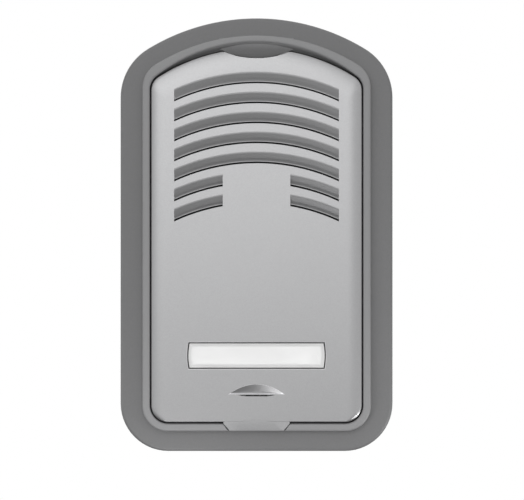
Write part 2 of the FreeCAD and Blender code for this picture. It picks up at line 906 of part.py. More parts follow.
def front_plate():
    tray = slab(plate, plate_back_out, plate_out)
    tray = tray.makeFillet(plate_crown, edges_in_front_plane(tray, plate_out))
    tray = tray.fuse(tongue_block(0, skin_back_out, plate_out - tongue_drop))
    tray = tray.cut(slab(inset(plate, plate_wall), plate_back_out - over, skin_back_out))

    pieces = [tray] + louvre_rows_of(louvre_back, louvre_end_wall)
    seat_inner = speaker_radius - speaker_seat_width
    seat = tube(0, speaker_height, seat_inner, speaker_radius, seat_out, skin_back_out + over / 2)
    pieces.append(seat)
    for x, z in clamp_places:
        pieces.append(rod(x, z, clamp_boss_radius, flange_back_out, skin_back_out + over / 2))
    for x, z in board_posts:
        pieces.append(rod(x, z, post_radius, board_out, skin_back_out + over / 2))

    room = carrier_flange + guide_clearance
    guide = window_slab(room + guide_wall, skin_back_out - guide_depth, skin_back_out + over / 2)
    guide = guide.cut(window_slab(room, 0, skin_back_out))
    pieces.append(guide)

    cup_radius = boot_radius + cup_wall
    pad_half = mic_slit_width / 2 + cup_wall
    pad_low = mic_height - mic_radius
    pad_high = mic_port_height + mic_port_rise
    pieces.append(block(-pad_half, pad_half, mic_pad_out, skin_back_out + over / 2, pad_low, pad_high))
    pieces.append(tube(0, mic_height, boot_radius, cup_radius, cup_back_out, skin_back_out + over / 2))

    lug_low = plate["bottom"]
    lug_high = lug_low + lock_lug_height
    half_lug = lock_lug_width / 2
    pieces.append(
        block(-half_lug, half_lug, lock_out - half_lug, plate_back_out + over, lug_low, lug_high)
    )
    shape = fuse(pieces)

    cuts = louvre_rows_of(louvre_cut, 0) + louvre_rows_of(louvre_slot, 0)
    cuts.append(window_slab(0, skin_back_out - over, plate_out + over))
    cuts.append(window_slab(room, skin_back_out - guide_depth - over, skin_back_out))
    cuts.append(
        scoop(plate_out, pad_high, mic_port_height, mic_port_depth, mic_port_width, mic_port_lean)
    )
    slit_top = mic_port_height - mic_port_edge
    slit_low = slit_top - mic_slit
    half_slit = mic_slit_width / 2
    half_way = mic_way_width / 2
    slit_floor = plate_out - mic_slit_depth
    cuts.append(block(-half_slit, half_slit, slit_floor, plate_out + over, slit_low, slit_top))
    cuts.append(block(-half_way, half_way, cup_back_out, plate_out, slit_low, slit_top))
    tongue_tip = opening_bottom - tongue_reach
    scoop_top = opening_bottom + scoop_rise
    front = plate_out - tongue_drop
    cuts.append(scoop(front, scoop_top, tongue_tip - over / 10, scoop_depth, tongue_width, 0))
    cuts.append(lens_block(notch_clearance, hook_front_out, plate_out + over))
    cuts.append(lens_block(notch_relief, hook_front_out, skin_back_out))
    lock_hole_length = lock_lug_height + 2 * over
    lock_hole_start = at(0, lock_out, lug_low - over)
    cuts.append(
        Part.makeCylinder(lock_screw_radius + running_gap, lock_hole_length, lock_hole_start, UP)
    )
    for x, z in board_posts:
        cuts.append(rod(x, z, screw_radius + pilot_gap, board_out - over, skin_back_out - over))
    for x, z in clamp_places:
        cuts.append(rod(x, z, screw_radius + pilot_gap, flange_back_out - over, skin_back_out))
    return shape.cut(Part.makeCompound(cuts))


def speaker_cloth():
    return rod(0, speaker_height, speaker_radius, cloth_back_out, seat_out)


def speaker_gasket():
    inner = speaker_radius - speaker_seat_width
    return tube(0, speaker_height, inner, speaker_radius, flange_front_out, cloth_back_out)


# Levels inside the speaker
film_seat_out = flange_front_out - film_step
film_out = film_seat_out + diaphragm_thickness
neck_out = flange_back_out - speaker_cup_depth
yoke_out = neck_out + basket_wall
yoke_floor_out = yoke_out - top_plate_thickness - magnet_depth
yoke_back_out = yoke_floor_out - yoke_floor
coil_inner = magnet_radius + coil_gap
coil_outer = coil_inner + voice_coil_wall
yoke_inner = coil_outer + coil_gap
yoke_outer = yoke_inner + yoke_wall
film_radius = speaker_cup_radius - basket_wall


def speaker_basket():
    neck = yoke_outer + pilot_gap
    profile = [
        (speaker_radius, flange_front_out), (speaker_radius, flange_back_out),
        (speaker_cup_radius, flange_back_out), (neck + basket_shoulder, neck_out),
        (neck, neck_out), (neck, yoke_out), (neck + basket_shoulder - basket_wall, yoke_out),
        (film_radius - film_rim, film_seat_out), (film_radius + pilot_gap, film_seat_out),
        (film_radius + pilot_gap, flange_front_out),
    ]
    shape = turned(profile, 0, speaker_height)
    middle = (speaker_cup_radius + neck + basket_shoulder) / 2
    cuts = []
    for number in range(basket_windows):
        angle = math.radians(360 * (number + 0.5) / basket_windows)
        x = middle * math.sin(angle)
        z = speaker_height + middle * math.cos(angle)
        cuts.append(rod(x, z, basket_window_radius, 0, film_seat_out))
    return shape.cut(Part.makeCompound(cuts))


def speaker_yoke():
    profile = [
        (0, yoke_back_out), (yoke_outer, yoke_back_out), (yoke_outer, yoke_out),
        (yoke_inner, yoke_out), (yoke_inner, yoke_floor_out), (0, yoke_floor_out),
    ]
    return turned(profile, 0, speaker_height)


def speaker_magnet():
    return rod(0, speaker_height, magnet_radius, yoke_floor_out, yoke_out - top_plate_thickness)


def speaker_top_plate():
    return rod(0, speaker_height, magnet_radius, yoke_out - top_plate_thickness, yoke_out)


def speaker_voice_coil():
    top = film_seat_out - coil_glue
    return tube(0, speaker_height, coil_inner, coil_outer, top - voice_coil_depth, top)


def speaker_diaphragm():
    """A formed film: a dome over the coil and a shallow ring out to its rim."""
    dome = (coil_inner + coil_outer) / 2
    rim = film_radius - film_rim
    z = speaker_height

    def section(drop):
        centre = at(0, film_out + diaphragm_rise - drop, z)
        knee = at(dome, film_out - drop, z)
        crest = at((dome + rim) / 2, film_out + diaphragm_rise / 2 - drop, z)
        foot = at(rim, film_out - drop, z)
        shoulder = at(dome * 0.6, film_out + diaphragm_rise * 0.72 - drop, z)
        end = at(film_radius, film_out - drop, z)
        return [arc(centre, shoulder, knee), arc(knee, crest, foot), line(foot, end)]

    front = section(0)
    back = section(diaphragm_thickness)
    edge = line(at(film_radius, film_out, z), at(film_radius, film_seat_out, z))
    axis = line(at(0, film_out + diaphragm_rise, z), at(0, film_seat_out + diaphragm_rise, z))
    wire = Part.Wire(Part.__sortEdges__(front + back + [edge, axis]))
    return Part.Face(wire).revolve(at(0, 0, z), TOWARD_WALL, 360)


def speaker_terminal_strip():
    """A small tag board under the speaker's flange, with two eyelets."""
    low = speaker_height - speaker_radius
    half = tag_spacing
    strip = block(-half, half, flange_back_out - tag_thickness, flange_back_out, low, low + tag_height)
    holes = [
        rod(side * tag_spacing / 2, low + tag_height / 2, lead_radius + pilot_gap, 0, flange_back_out)
        for side in (-1, 1)
    ]
    return strip.cut(Part.makeCompound(holes))


def speaker_clamps():
    reach = clamp_boss_gap + clamp_boss_radius + clamp_finger
    back = flange_back_out - clamp_thickness
    discs = []
    for x, z in clamp_places:
        disc = rod(x, z, reach, back, flange_back_out)
        disc = disc.makeFillet(clamp_thickness / 4, edges_in_front_plane(disc, back))
        discs.append(disc.cut(rod(x, z, screw_radius + screw_hole_clearance, 0, lip_out)))
    return discs


def speaker_clamp_screws():
    head_out = flange_back_out - clamp_thickness
    return [pan_screw(x, z, head_out, clamp_screw_length, -1) for x, z in clamp_places]


def call_button_lens():
    """The clear cap of the name window, open at the back."""
    cap = window_slab(-window_gap, carrier_front_out, lens_out)
    cap = cap.makeFillet(lens_round, edges_in_front_plane(cap, lens_out))
    return cap.cut(window_slab(-window_gap - lens_wall, carrier_front_out - over, lens_out - lens_wall))


def name_card():
    front = lens_out - lens_wall
    return window_slab(-window_gap - lens_wall - carrier_clearance, front - card_thickness, front)


def call_button_carrier():
    """White light guide behind the card: a stop flange, a light pocket, a stem and two spring pins."""
    shrink = window_gap + lens_wall + carrier_clearance
    top = lens_out - lens_wall - card_thickness
    shape = window_slab(carrier_flange, carrier_back_out, carrier_front_out)
    shape = shape.fuse(window_slab(-shrink, carrier_back_out, top))
    roof = top - carrier_skin
    limit = spring_offset - spring_radius - carrier_pocket_wall
    pocket = window_slab(-shrink - carrier_pocket_wall, carrier_back_out - over, roof)
    pocket = pocket.common(block(-limit, limit, 0, lens_out, -body_height, body_height))
    shape = shape.cut(pocket)
    stem = rod(0, window_centre_height, stem_radius, plunger_top_out + stem_gap, roof)
    pin_radius = spring_radius - spring_wire - spring_seat_clearance
    pin_end = carrier_back_out - spring_pin
    pins = [
        rod(side * spring_offset, window_centre_height, pin_radius, pin_end, carrier_back_out)
        for side in (-1, 1)
    ]
    return fuse([shape, stem] + pins)


def coil_spring(x, z, out_low, out_high):
    """A round-wire compression spring, as one tube along a helix."""
    low = out_low + spring_wire
    travel = out_high - out_low - 2 * spring_wire
    path = Part.makeHelix(travel / spring_turns, travel, spring_radius)
    start = FreeCAD.Vector(spring_radius, 0, 0)
    section = Part.Wire(Part.makeCircle(spring_wire, start, FreeCAD.Vector(0, 1, 0)))
    coil = Part.Wire(path.Edges).makePipeShell([section], True, True)
    coil.rotate(FreeCAD.Vector(0, 0, 0), RIGHT, 90)
    coil.translate(at(x, low, z))
    return coil


def button_springs():
    return [
        coil_spring(side * spring_offset, window_centre_height, board_out, carrier_back_out)
        for side in (-1, 1)
    ]


def call_switch_body():
    half = switch_size / 2
    z = window_centre_height
    body_block = block(-half, half, board_out, switch_top_out, z - half, z + half)
    bore = switch_plunger_radius + switch_plunger_clearance
    return body_block.cut(rod(0, z, bore, board_out + switch_floor, switch_top_out + over))


def call_switch_plunger():
    foot = board_out + switch_floor + button_travel + stem_gap
    plunger = rod(0, window_centre_height, switch_plunger_radius, foot, plunger_top_out)
    return plunger.makeChamfer(switch_plunger_radius / 5, edges_in_front_plane(plunger, plunger_top_out))


def window_leds():
    lamps = []
    for number in range(led_count):
        x = led_spacing * (number - (led_count - 1) / 2)
        half = led_width / 2
        z = window_centre_height
        lamp = block(x - half, x + half, board_out, board_out + led_height, z - half, z + half)
        lens = rod(x, z, half * 0.75, board_out, board_out + led_height * 1.3)
        lamps.append(lamp.fuse(lens))
    return lamps


def circuit_board():
    half = board_width / 2
    board = block(-half, half, board_back_out, board_out, board_bottom_height, board_top_height)
    corners = [edge for edge in board.Edges if edge.BoundBox.XLength + edge.BoundBox.ZLength < over / 10]
    board = board.makeFillet(board_corner, corners)
    holes = [rod(x, z, board_hole_radius, 0, plate_out) for x, z in board_posts]
    return board.cut(Part.makeCompound(holes))


def board_screws():
    return [pan_screw(x, z, board_back_out, board_screw_length, -1) for x, z in board_posts]


def terminal_places():
    return [terminal_pitch * (number - (terminal_ways - 1) / 2) for number in range(terminal_ways)]


def terminal_block():
    """A row of screw terminals: wires enter from above, the screws face the wall."""
    half = terminal_pitch * terminal_ways / 2
    low = terminal_row_height - terminal_depth / 2
    high = terminal_row_height + terminal_depth / 2
    back = board_back_out - terminal_height
    side_view = [
        at(-half, board_back_out, low), at(-half, board_back_out, high),
        at(-half, back + 2 * terminal_chamfer, high), at(-half, back, high - terminal_chamfer),
        at(-half, back, low + terminal_chamfer), at(-half, back + terminal_chamfer, low),
    ]
    shape = Part.Face(Part.makePolygon(side_view + side_view[:1])).extrude(RIGHT * (2 * half))
    cuts = []
    mouth = wire_mouth / 2
    level = board_back_out - terminal_height / 3
    for x in terminal_places():
        cuts.append(rod(x, terminal_row_height, terminal_bore_radius, back - over, board_back_out - over))
        cuts.append(
            block(x - mouth, x + mouth, level - mouth, level + mouth, terminal_row_height, high + over)
        )
    return shape.cut(Part.makeCompound(cuts))


def terminal_screws():
    back = board_back_out - terminal_height
    radius = terminal_bore_radius - pilot_gap
    screws = []
    for x in terminal_places():
        screw = rod(x, terminal_row_height, radius, back + terminal_sink, back + terminal_screw_length)
        slot = block(
            x - radius, x + radius, back, back + terminal_sink + terminal_slot_depth,
            terminal_row_height - trimmer_slot / 2, terminal_row_height + trimmer_slot / 2,
        )
        screws.append(screw.cut(slot))
    return screws


def trimmer_body(x):
    half = trimmer_size / 2
    z = trimmer_row_height
    back = board_back_out - trimmer_height
    shape = block(x - half, x + half, back, board_back_out, z - half, z + half)
    bore = trimmer_rotor_radius + trimmer_clearance
    return shape.cut(rod(x, z, bore, back - over, back + trimmer_rotor_height))


def trimmer_rotor(x):
    """The turning cross-slot disc of a trimmer, with a pointer notch."""
    z = trimmer_row_height
    floor = board_back_out - trimmer_height + trimmer_rotor_height - trimmer_clearance
    back = floor - 2 * trimmer_rotor_height + trimmer_clearance
    disc = rod(x, z, trimmer_rotor_radius, back, floor)
    disc = disc.makeChamfer(trimmer_slot / 3, edges_in_front_plane(disc, back))
    half = trimmer_slot / 2
    reach = trimmer_rotor_radius * 0.7
    slot = block(x - reach, x + reach, back - over, back + over, z - half, z + half)
    pointer = block(x - half / 2, x + half / 2, back - over, back + over / 2, z, z + trimmer_rotor_radius)
    return disc.cut(Part.makeCompound([slot, pointer]))


def amplifier_chip():
    x = chip_place[0]
    z = board_bottom_height + chip_place[1]
    half = chip_length / 2
    side = chip_width / 2
    low = board_back_out - chip_height - chip_stand
    high = board_back_out - chip_stand
    shape = block(x - half, x + half, low, high, z - side, z + side)
    legs = []
    pitch = chip_length / chip_leads
    for number in range(chip_leads):
        middle = x - half + pitch * (number + 0.5)
        for way in (-1, 1):
            root = z + way * (side - chip_leg)
            foot = z + way * (side + chip_leg * 2)
            heel = z + way * (side + chip_leg)
            level = (low + high) / 2
            legs.append(block(
                middle - chip_leg, middle + chip_leg, level - chip_leg / 2, level + chip_leg / 2,
                min(root, foot), max(root, foot),
            ))
            legs.append(block(
                middle - chip_leg, middle + chip_leg, level - chip_leg / 2, board_back_out,
                min(heel, foot), max(heel, foot),
            ))
    notch = rod(x - half, z, chip_leg * 2, low - over, low + chip_leg)
    return fuse([shape] + legs).cut(notch)


def capacitors():
    cans = []
    x = capacitor_place[0]
    z = board_bottom_height + capacitor_place[1]
    for radius, height in zip(capacitor_radii, capacitor_heights):
        back = board_back_out - height
        can = rod(x, z, radius, back, board_back_out)
        can = can.makeFillet(capacitor_round, edges_in_front_plane(can, back))
        cans.append(can)
        x += capacitor_step
    return cans


def resistors():
    parts = []
    for number in range(resistor_count):
        x = resistor_place[0] + resistor_step * number
        z = board_bottom_height + resistor_place[1]
        out = board_back_out - resistor_radius - chip_stand
        half = resistor_length / 2
        barrel = Part.makeCylinder(resistor_radius, resistor_length, at(x, out, z - half), UP)
        shape = barrel
        for way in (-1, 1):
            end = z + way * (half + 2 * chip_leg)
            wire = Part.makeCylinder(chip_leg / 2, half + 2.5 * chip_leg, at(x, out, z), UP * way)
            drop = rod(x, end, chip_leg / 2, out - chip_leg / 2, board_back_out)
            shape = shape.fuse(wire).fuse(drop)
        parts.append(shape)
    return parts


def mic_boot():
    """A rubber sleeve with a port in front and a rim behind its cup."""
    rim = boot_radius + cup_wall
    profile = [
        (mic_radius, cup_back_out - boot_lip), (rim, cup_back_out - boot_lip), (rim, cup_back_out),
        (boot_radius, cup_back_out), (boot_radius, mic_pad_out),
        (mic_radius / 2, mic_pad_out), (mic_radius / 2, mic_pad_out - boot_lip),
        (mic_radius, mic_pad_out - boot_lip),
    ]
    return turned(profile, 0, mic_height)


def mic_capsule():
    front = mic_pad_out - boot_lip
    can = rod(0, mic_height, mic_radius, front - mic_depth, front)
    return can.cut(rod(0, mic_height, mic_radius / 3, front - mic_can_wall, front + over))


def leads(spacing, start_out, start_height, end_height):
    """A pair of wires that leave towards the wall and come back to the board's rear face."""
    far = board_back_out - lead_loop
    return [
        lead(
            [at(x, start_out, start_height), at(x, far, start_height),
             at(x, far, end_height), at(x, board_back_out, end_height)],
            lead_radius, lead_bend,
        )
        for x in (-spacing / 2, spacing / 2)
    ]


def speaker_leads():
    strip_height = speaker_height - speaker_radius + tag_height / 2
    return leads(tag_spacing, flange_back_out - tag_thickness, strip_height, board_top_height - lead_inset)


def mic_leads():
    start = mic_pad_out - boot_lip - mic_depth
    return leads(mic_radius * 0.8, start, mic_height, board_bottom_height + lead_inset)


keep("surround_housing", surround_housing())
keep("wall_base", wall_base())
keep("wall_gasket", wall_gasket())
keep("cable_grommet", cable_grommet())
keep("housing_screws", *housing_screws())
keep("plate_lock_screw", plate_lock_screw())
keep("plate_seal", plate_seal())
keep("front_plate", front_plate())
keep("speaker_cloth", speaker_cloth())
keep("speaker_gasket", speaker_gasket())
keep("speaker_basket", speaker_basket())
keep("speaker_yoke", speaker_yoke())
keep("speaker_magnet", speaker_magnet())
keep("speaker_top_plate", speaker_top_plate())
keep("speaker_voice_coil", speaker_voice_coil())
keep("speaker_diaphragm", speaker_diaphragm())
keep("speaker_terminal_strip", speaker_terminal_strip())
keep("speaker_clamps", *speaker_clamps())
keep("speaker_clamp_screws", *speaker_clamp_screws())
keep("speaker_leads", *speaker_leads())
keep("mic_boot", mic_boot())
keep("mic_capsule", mic_capsule())
keep("mic_leads", *mic_leads())
keep("circuit_board", circuit_board())
keep("board_screws", *board_screws())
keep("terminal_block", terminal_block())
keep("terminal_screws", *terminal_screws())
keep("amplifier_chip", amplifier_chip())
keep("capacitors", *capacitors())
keep("resistors", *resistors())
keep("speaker_trimmer_body", trimmer_body(-trimmer_spacing / 2))
keep("speaker_trimmer_rotor", trimmer_rotor(-trimmer_spacing / 2))
keep("mic_trimmer_body", trimmer_body(trimmer_spacing / 2))
keep("mic_trimmer_rotor", trimmer_rotor(trimmer_spacing / 2))
keep("window_leds", *window_leds())
keep("call_switch_body", call_switch_body())
keep("call_switch_plunger", call_switch_plunger())
keep("button_springs", *button_springs())
keep("call_button_carrier", call_button_carrier())
keep("name_card", name_card())
keep("call_button_lens", call_button_lens())

for name, shape in NODES.items():
    box = shape.BoundBox
    print(name, len(shape.Solids), shape.isValid(), round(shape.Volume, 1), box)
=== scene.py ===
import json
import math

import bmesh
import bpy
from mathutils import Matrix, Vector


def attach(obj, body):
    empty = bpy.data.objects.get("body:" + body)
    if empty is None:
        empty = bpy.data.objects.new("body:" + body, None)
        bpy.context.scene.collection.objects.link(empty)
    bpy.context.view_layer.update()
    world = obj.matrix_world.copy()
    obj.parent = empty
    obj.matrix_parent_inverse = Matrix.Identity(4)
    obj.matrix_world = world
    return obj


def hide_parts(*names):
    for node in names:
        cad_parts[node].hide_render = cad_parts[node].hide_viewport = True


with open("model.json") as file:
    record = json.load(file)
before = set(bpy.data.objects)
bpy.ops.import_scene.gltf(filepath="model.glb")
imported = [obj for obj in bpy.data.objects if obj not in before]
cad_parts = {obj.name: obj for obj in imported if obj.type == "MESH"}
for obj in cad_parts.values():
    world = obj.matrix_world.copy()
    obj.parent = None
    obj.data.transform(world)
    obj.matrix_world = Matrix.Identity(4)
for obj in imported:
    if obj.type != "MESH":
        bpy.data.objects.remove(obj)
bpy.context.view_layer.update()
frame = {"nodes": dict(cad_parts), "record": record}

# %% [markdown]
# # Dressing a door station
#
# This lesson dresses the solids of a wall-mounted door station: a dark grey
# surround with a raised lip, and inside it a silver plate with louvres, a name
# window that is the call push, and a crescent over the microphone.
#
# The solids are already in the scene, in metres, with the wall at Y = 0 and the
# front at negative Y. Sizes here are in millimetres, as on a maker's drawing,
# and a mesh is brought to metres when it becomes an object.

MM = 0.001
BODY_OF = {}
for body_name, members in frame["record"]["behaviour"]["bodies"].items():
    for member in members:
        BODY_OF[member] = body_name
SLOT_OF = {part["node"]: part["material_slot"] for part in frame["record"]["subparts"]}

# %% [markdown]
# ## Patterns that several finishes share
#
# A moulded surface is never quite flat. Spark erosion leaves the mould with a
# fine even roughness, and the plastic copies it. One way to show that is a
# painted picture of grain, but a picture has a size and a seam. Noise in Object
# coordinates has neither, so each pattern is a small node group, made once and
# placed in every material that needs it, with its own scale.

# %% A helper for making a pattern group
def pattern_group(name, inputs, outputs):
    """An empty shader group with named number inputs and outputs, and its two end nodes."""
    group = bpy.data.node_groups.new(name, "ShaderNodeTree")
    for label, value in inputs:
        socket = group.interface.new_socket(name=label, in_out="INPUT", socket_type="NodeSocketFloat")
        socket.default_value = value
    for label in outputs:
        group.interface.new_socket(name=label, in_out="OUTPUT", socket_type="NodeSocketFloat")
    return group, group.nodes.new("NodeGroupInput"), group.nodes.new("NodeGroupOutput")


def add_node(tree, kind, **settings):
    """A node of one kind, with its properties or its input values set by name."""
    node = tree.nodes.new("ShaderNode" + kind)
    for key, value in settings.items():
        if hasattr(node, key):
            setattr(node, key, value)
        else:
            node.inputs[key.replace("_", " ")].default_value = value
    return node


def maths(tree, operation, *values, **settings):
    """A Math node and the numbers on its sockets. None leaves a socket for a link."""
    node = add_node(tree, "Math", operation=operation, **settings)
    for socket, value in zip(node.inputs, values):
        if value is not None:
            socket.default_value = value
    return node


def wire(tree, *links):
    """Links nodes. Each link is a source, its output, a target and its input."""
    for source, output, target, slot in links:
        tree.links.new(source.outputs[output], target.inputs[slot])


def object_noise(tree, **settings):
    """Noise in Object coordinates. Its scale is in grains to the metre."""
    noise = add_node(tree, "TexNoise", **settings)
    wire(tree, (add_node(tree, "TexCoord"), "Object", noise, "Vector"))
    return noise


print("pattern helper ready")

# %% Spark grain, as the mould gives it to plastic
spark_grain, entry, leave = pattern_group("spark_grain", [("Grains", 1500.0)], ["Height", "Tone"])
fine = object_noise(spark_grain, Detail=3.0, Roughness=0.6)
coarse = object_noise(spark_grain, Detail=1.0, Roughness=0.5)
third = maths(spark_grain, "MULTIPLY", None, 0.37)
blend = maths(spark_grain, "ADD")
wire(
    spark_grain, (entry, "Grains", fine, "Scale"), (entry, "Grains", third, 0), (third, 0, coarse, "Scale"),
    (fine, 0, blend, 0), (coarse, 0, blend, 1), (blend, 0, leave, "Height"), (fine, 0, leave, "Tone"),
)
print("spark_grain has", len(spark_grain.nodes), "nodes")

# %% Flake, as metallic paint shows it: tiny bright and dark specks
paint_flake, entry, leave = pattern_group("paint_flake", [("Flakes", 2600.0), ("Contrast", 1.0)], ["Tone"])
cells = add_node(paint_flake, "TexVoronoi", feature="F1")
place = add_node(paint_flake, "TexCoord")
grey = add_node(paint_flake, "SeparateColor")
mist = object_noise(paint_flake, Detail=4.0, Roughness=0.7)
centre = maths(paint_flake, "SUBTRACT", None, 0.5)
mix_in = maths(paint_flake, "MULTIPLY_ADD", None, 0.5)
strength = maths(paint_flake, "MULTIPLY")
wire(
    paint_flake, (place, "Object", cells, "Vector"), (entry, "Flakes", cells, "Scale"),
    (entry, "Flakes", mist, "Scale"), (cells, "Color", grey, "Color"), (grey, "Red", centre, 0),
    (centre, 0, mix_in, 0), (mist, 0, mix_in, 2), (mix_in, 0, strength, 0),
    (entry, "Contrast", strength, 1), (strength, 0, leave, "Tone"),
)
print("paint_flake has", len(paint_flake.nodes), "nodes")

# %% Drift, the slow change of tone over a hand-sized surface
tone_drift, entry, leave = pattern_group("tone_drift", [("Patches", 18.0), ("Strength", 0.1)], ["Tone"])
slow = object_noise(tone_drift, Detail=3.0, Roughness=0.55)
settle = maths(tone_drift, "SUBTRACT", None, 0.5)
amount = maths(tone_drift, "MULTIPLY")
wire(
    tone_drift, (entry, "Patches", slow, "Scale"), (slow, 0, settle, 0), (settle, 0, amount, 0),
    (entry, "Strength", amount, 1), (amount, 0, leave, "Tone"),
)
print("tone_drift has", len(tone_drift.nodes), "nodes")

# %% [markdown]
# Outer edges carry a painted highlight: they are made a little paler, where they
# would catch the light. Geometry's Pointiness reads how sharply the mesh turns, so a
# ramp on it gives a mask that follows the real edges of whatever it is placed on.

# %% Edge highlight, a mask of painted highlight that is bright on outer edges
edge_highlight, entry, leave = pattern_group("edge_highlight", [("Strength", 0.5), ("Breaks", 220.0)], ["Mask"])
shape = add_node(edge_highlight, "NewGeometry")
rise = add_node(edge_highlight, "MapRange", From_Min=0.51, From_Max=0.60)
gaps = object_noise(edge_highlight, Detail=4.0, Roughness=0.65)
patchy_highlight = maths(edge_highlight, "MULTIPLY")
scale = maths(edge_highlight, "MULTIPLY")
wire(
    edge_highlight, (shape, "Pointiness", rise, "Value"), (entry, "Breaks", gaps, "Scale"),
    (rise, "Result", patchy_highlight, 0), (gaps, 0, patchy_highlight, 1), (patchy_highlight, 0, scale, 0), (entry, "Strength", scale, 1),
    (scale, 0, leave, "Mask"),
)
print("edge_highlight has", len(edge_highlight.nodes), "nodes")

# %% [markdown]
# The raised lip carries a painted highlight: a touch paler than the flange round
# it. This mask follows the distance from the wall instead of the edges.

# %% Crest highlight, a mask of painted highlight by distance from the wall
crest_inputs = [("Low", 0.030), ("High", 0.032), ("Strength", 0.3)]
crest_highlight, entry, leave = pattern_group("crest_highlight", crest_inputs, ["Mask"])
place = add_node(crest_highlight, "TexCoord")
parts = add_node(crest_highlight, "SeparateXYZ")
forward = maths(crest_highlight, "MULTIPLY", None, -1.0)
climb = add_node(crest_highlight, "MapRange", interpolation_type="SMOOTHSTEP")
scale = maths(crest_highlight, "MULTIPLY")
wire(
    crest_highlight, (place, "Object", parts, "Vector"), (parts, "Y", forward, 0), (forward, 0, climb, "Value"),
    (entry, "Low", climb, "From Min"), (entry, "High", climb, "From Max"), (climb, "Result", scale, 0),
    (entry, "Strength", scale, 1), (scale, 0, leave, "Mask"),
)
print("crest_highlight has", len(crest_highlight.nodes), "nodes")

# %% [markdown]
# ## One maker for the plain finishes
#
# Every finish starts from the same bench: a Principled shader, whose constant
# values are set on its own sockets, a base colour that drifts and speckles, a
# roughness that follows the grain, and a bump. A finish that needs more, such
# as the circuit board, adds its own nodes to this start.

# %% The bench that every finish starts from
def place_group(tree, group, **values):
    node = tree.nodes.new("ShaderNodeGroup")
    node.node_tree = group
    for label, value in values.items():
        node.inputs[label].default_value = value
    return node


def finish(name, colour, roughness, metallic=0.0, grains=1500.0, bump=0.02, speckle=0.06,
           drift=0.08, patches=18.0, rub=0.0, matt=0.08, **sockets):
    """A material: drifting colour, grain in the roughness, and a bump in tenths of a millimetre."""
    material = bpy.data.materials.new(name + "_finish")
    material.use_nodes = True
    tree = material.node_tree
    shader = tree.nodes["Principled BSDF"]
    shader.inputs["Metallic"].default_value = metallic
    for label, value in sockets.items():
        shader.inputs[label.replace("_", " ")].default_value = value

    grain = place_group(tree, spark_grain, Grains=grains)
    slow = place_group(tree, tone_drift, Patches=patches, Strength=drift)
    # painted highlight: outer edges made paler, broken up by noise
    edges = place_group(tree, edge_highlight, Strength=rub)
    speck = maths(tree, "MULTIPLY_ADD", None, speckle, 1.0 - speckle / 2)
    value = maths(tree, "ADD")
    lift = maths(tree, "ADD", name="lift")
    tint = add_node(tree, "VectorMath", operation="SCALE", name="tint")
    tint.inputs[0].default_value = colour
    wire(
        tree, (grain, "Tone", speck, 0), (speck, 0, value, 0), (slow, "Tone", value, 1),
        (value, 0, lift, 0), (edges, "Mask", lift, 1), (lift, 0, tint, "Scale"),
        (tint, "Vector", shader, "Base Color"),
    )

    rough = maths(tree, "MULTIPLY_ADD", None, matt, roughness - matt / 2, use_clamp=True)
    press = add_node(tree, "Bump", Strength=1.0, Distance=bump * MM)
    wire(
        tree, (grain, "Tone", rough, 0), (rough, 0, shader, "Roughness"),
        (grain, "Height", press, "Height"), (press, "Normal", shader, "Normal"),
    )
    return material


def add_tone(tree, source, output):
    """One more mask or speckle on top of a finish's own tone."""
    total = maths(tree, "ADD")
    wire(tree, (tree.nodes["lift"], 0, total, 0), (source, output, total, 1),
         (total, 0, tree.nodes["tint"], "Scale"))
    return total


print("bench ready")

# %% [markdown]
# ## The two finishes that show most
#
# The surround is a dark grey moulding with a satin skin. The plate is sprayed
# silver: not a bare metal, which would mirror its room, but a pale grey with
# flakes under a thin lacquer. A mostly metallic base with fine flake tone and a
# broad highlight reads as that paint from any side. Where its rims carry a
# painted highlight it is paler and less like metal.

# %% Surround plastic and plate silver
housing_plastic = finish(
    "housing_plastic", (0.200, 0.200, 0.203), 0.46, grains=1700.0, bump=0.018, speckle=0.16,
    drift=0.05, patches=22.0, rub=0.35, matt=0.12,
)
tree = housing_plastic.node_tree
# painted highlight on the lip's crest: paler towards the front
add_tone(tree, place_group(tree, crest_highlight, Low=0.0298, High=0.0314, Strength=0.6), "Mask")
plate_silver = finish(
    "plate_silver", (0.34, 0.34, 0.345), 0.36, metallic=0.85, grains=2400.0, bump=0.006,
    speckle=0.05, drift=0.035, patches=14.0, matt=0.10,
)
tree = plate_silver.node_tree
glint = add_tone(tree, place_group(tree, paint_flake, Flakes=3000.0, Contrast=0.11), "Tone")
# painted highlight: marked rim faces are painted paler and made less metallic
sheen_attribute = add_node(tree, "Attribute", attribute_name="painted_sheen")
shine = maths(tree, "MULTIPLY_ADD", None, 1.3)
wire(tree, (sheen_attribute, "Fac", shine, 0), (glint, 0, shine, 2), (shine, 0, tree.nodes["tint"], "Scale"))
metal = maths(tree, "MULTIPLY_ADD", None, -0.55, 0.85)
wire(tree, (sheen_attribute, "Fac", metal, 0), (metal, 0, tree.nodes["Principled BSDF"], "Metallic"))
print("surround and plate finishes made")

# %% [markdown]
# ## Drawing an outline as a loop
#
# Every front outline of this station is the same figure: two upright sides, a
# wide arc on top and four rounded corners. A curve object could draw it, but a
# loop of mesh edges can be bridged to the next one straight away. The loop is
# drawn as a pen would: a vertex is carried along each side by extrusion and
# round each corner by the spin operator, and its end is welded to its start.
# All loops have the same steps and start at the same corner. Two of them in one
# plane could still bridge with a twist, so one is held far off while they bridge.

# %% The pen: straight runs, turns and whole outlines
SIDE_STEPS = 10
ARC_STEPS = 56
CORNER_STEPS = 14


def put_down(mesh, x, out, z):
    return bmesh.ops.create_vert(mesh, co=(x, -out, z))["vert"][0]


def run_on(mesh, vert, x, z, steps=1):
    """Carries a vertex straight on to a place in its own front plane."""
    start = vert.co.copy()
    for number in range(steps):
        vert = bmesh.ops.extrude_vert_indiv(mesh, verts=[vert])["verts"][0]
        vert.co = start.lerp(Vector((x, start.y, z)), (number + 1) / steps)
    return vert


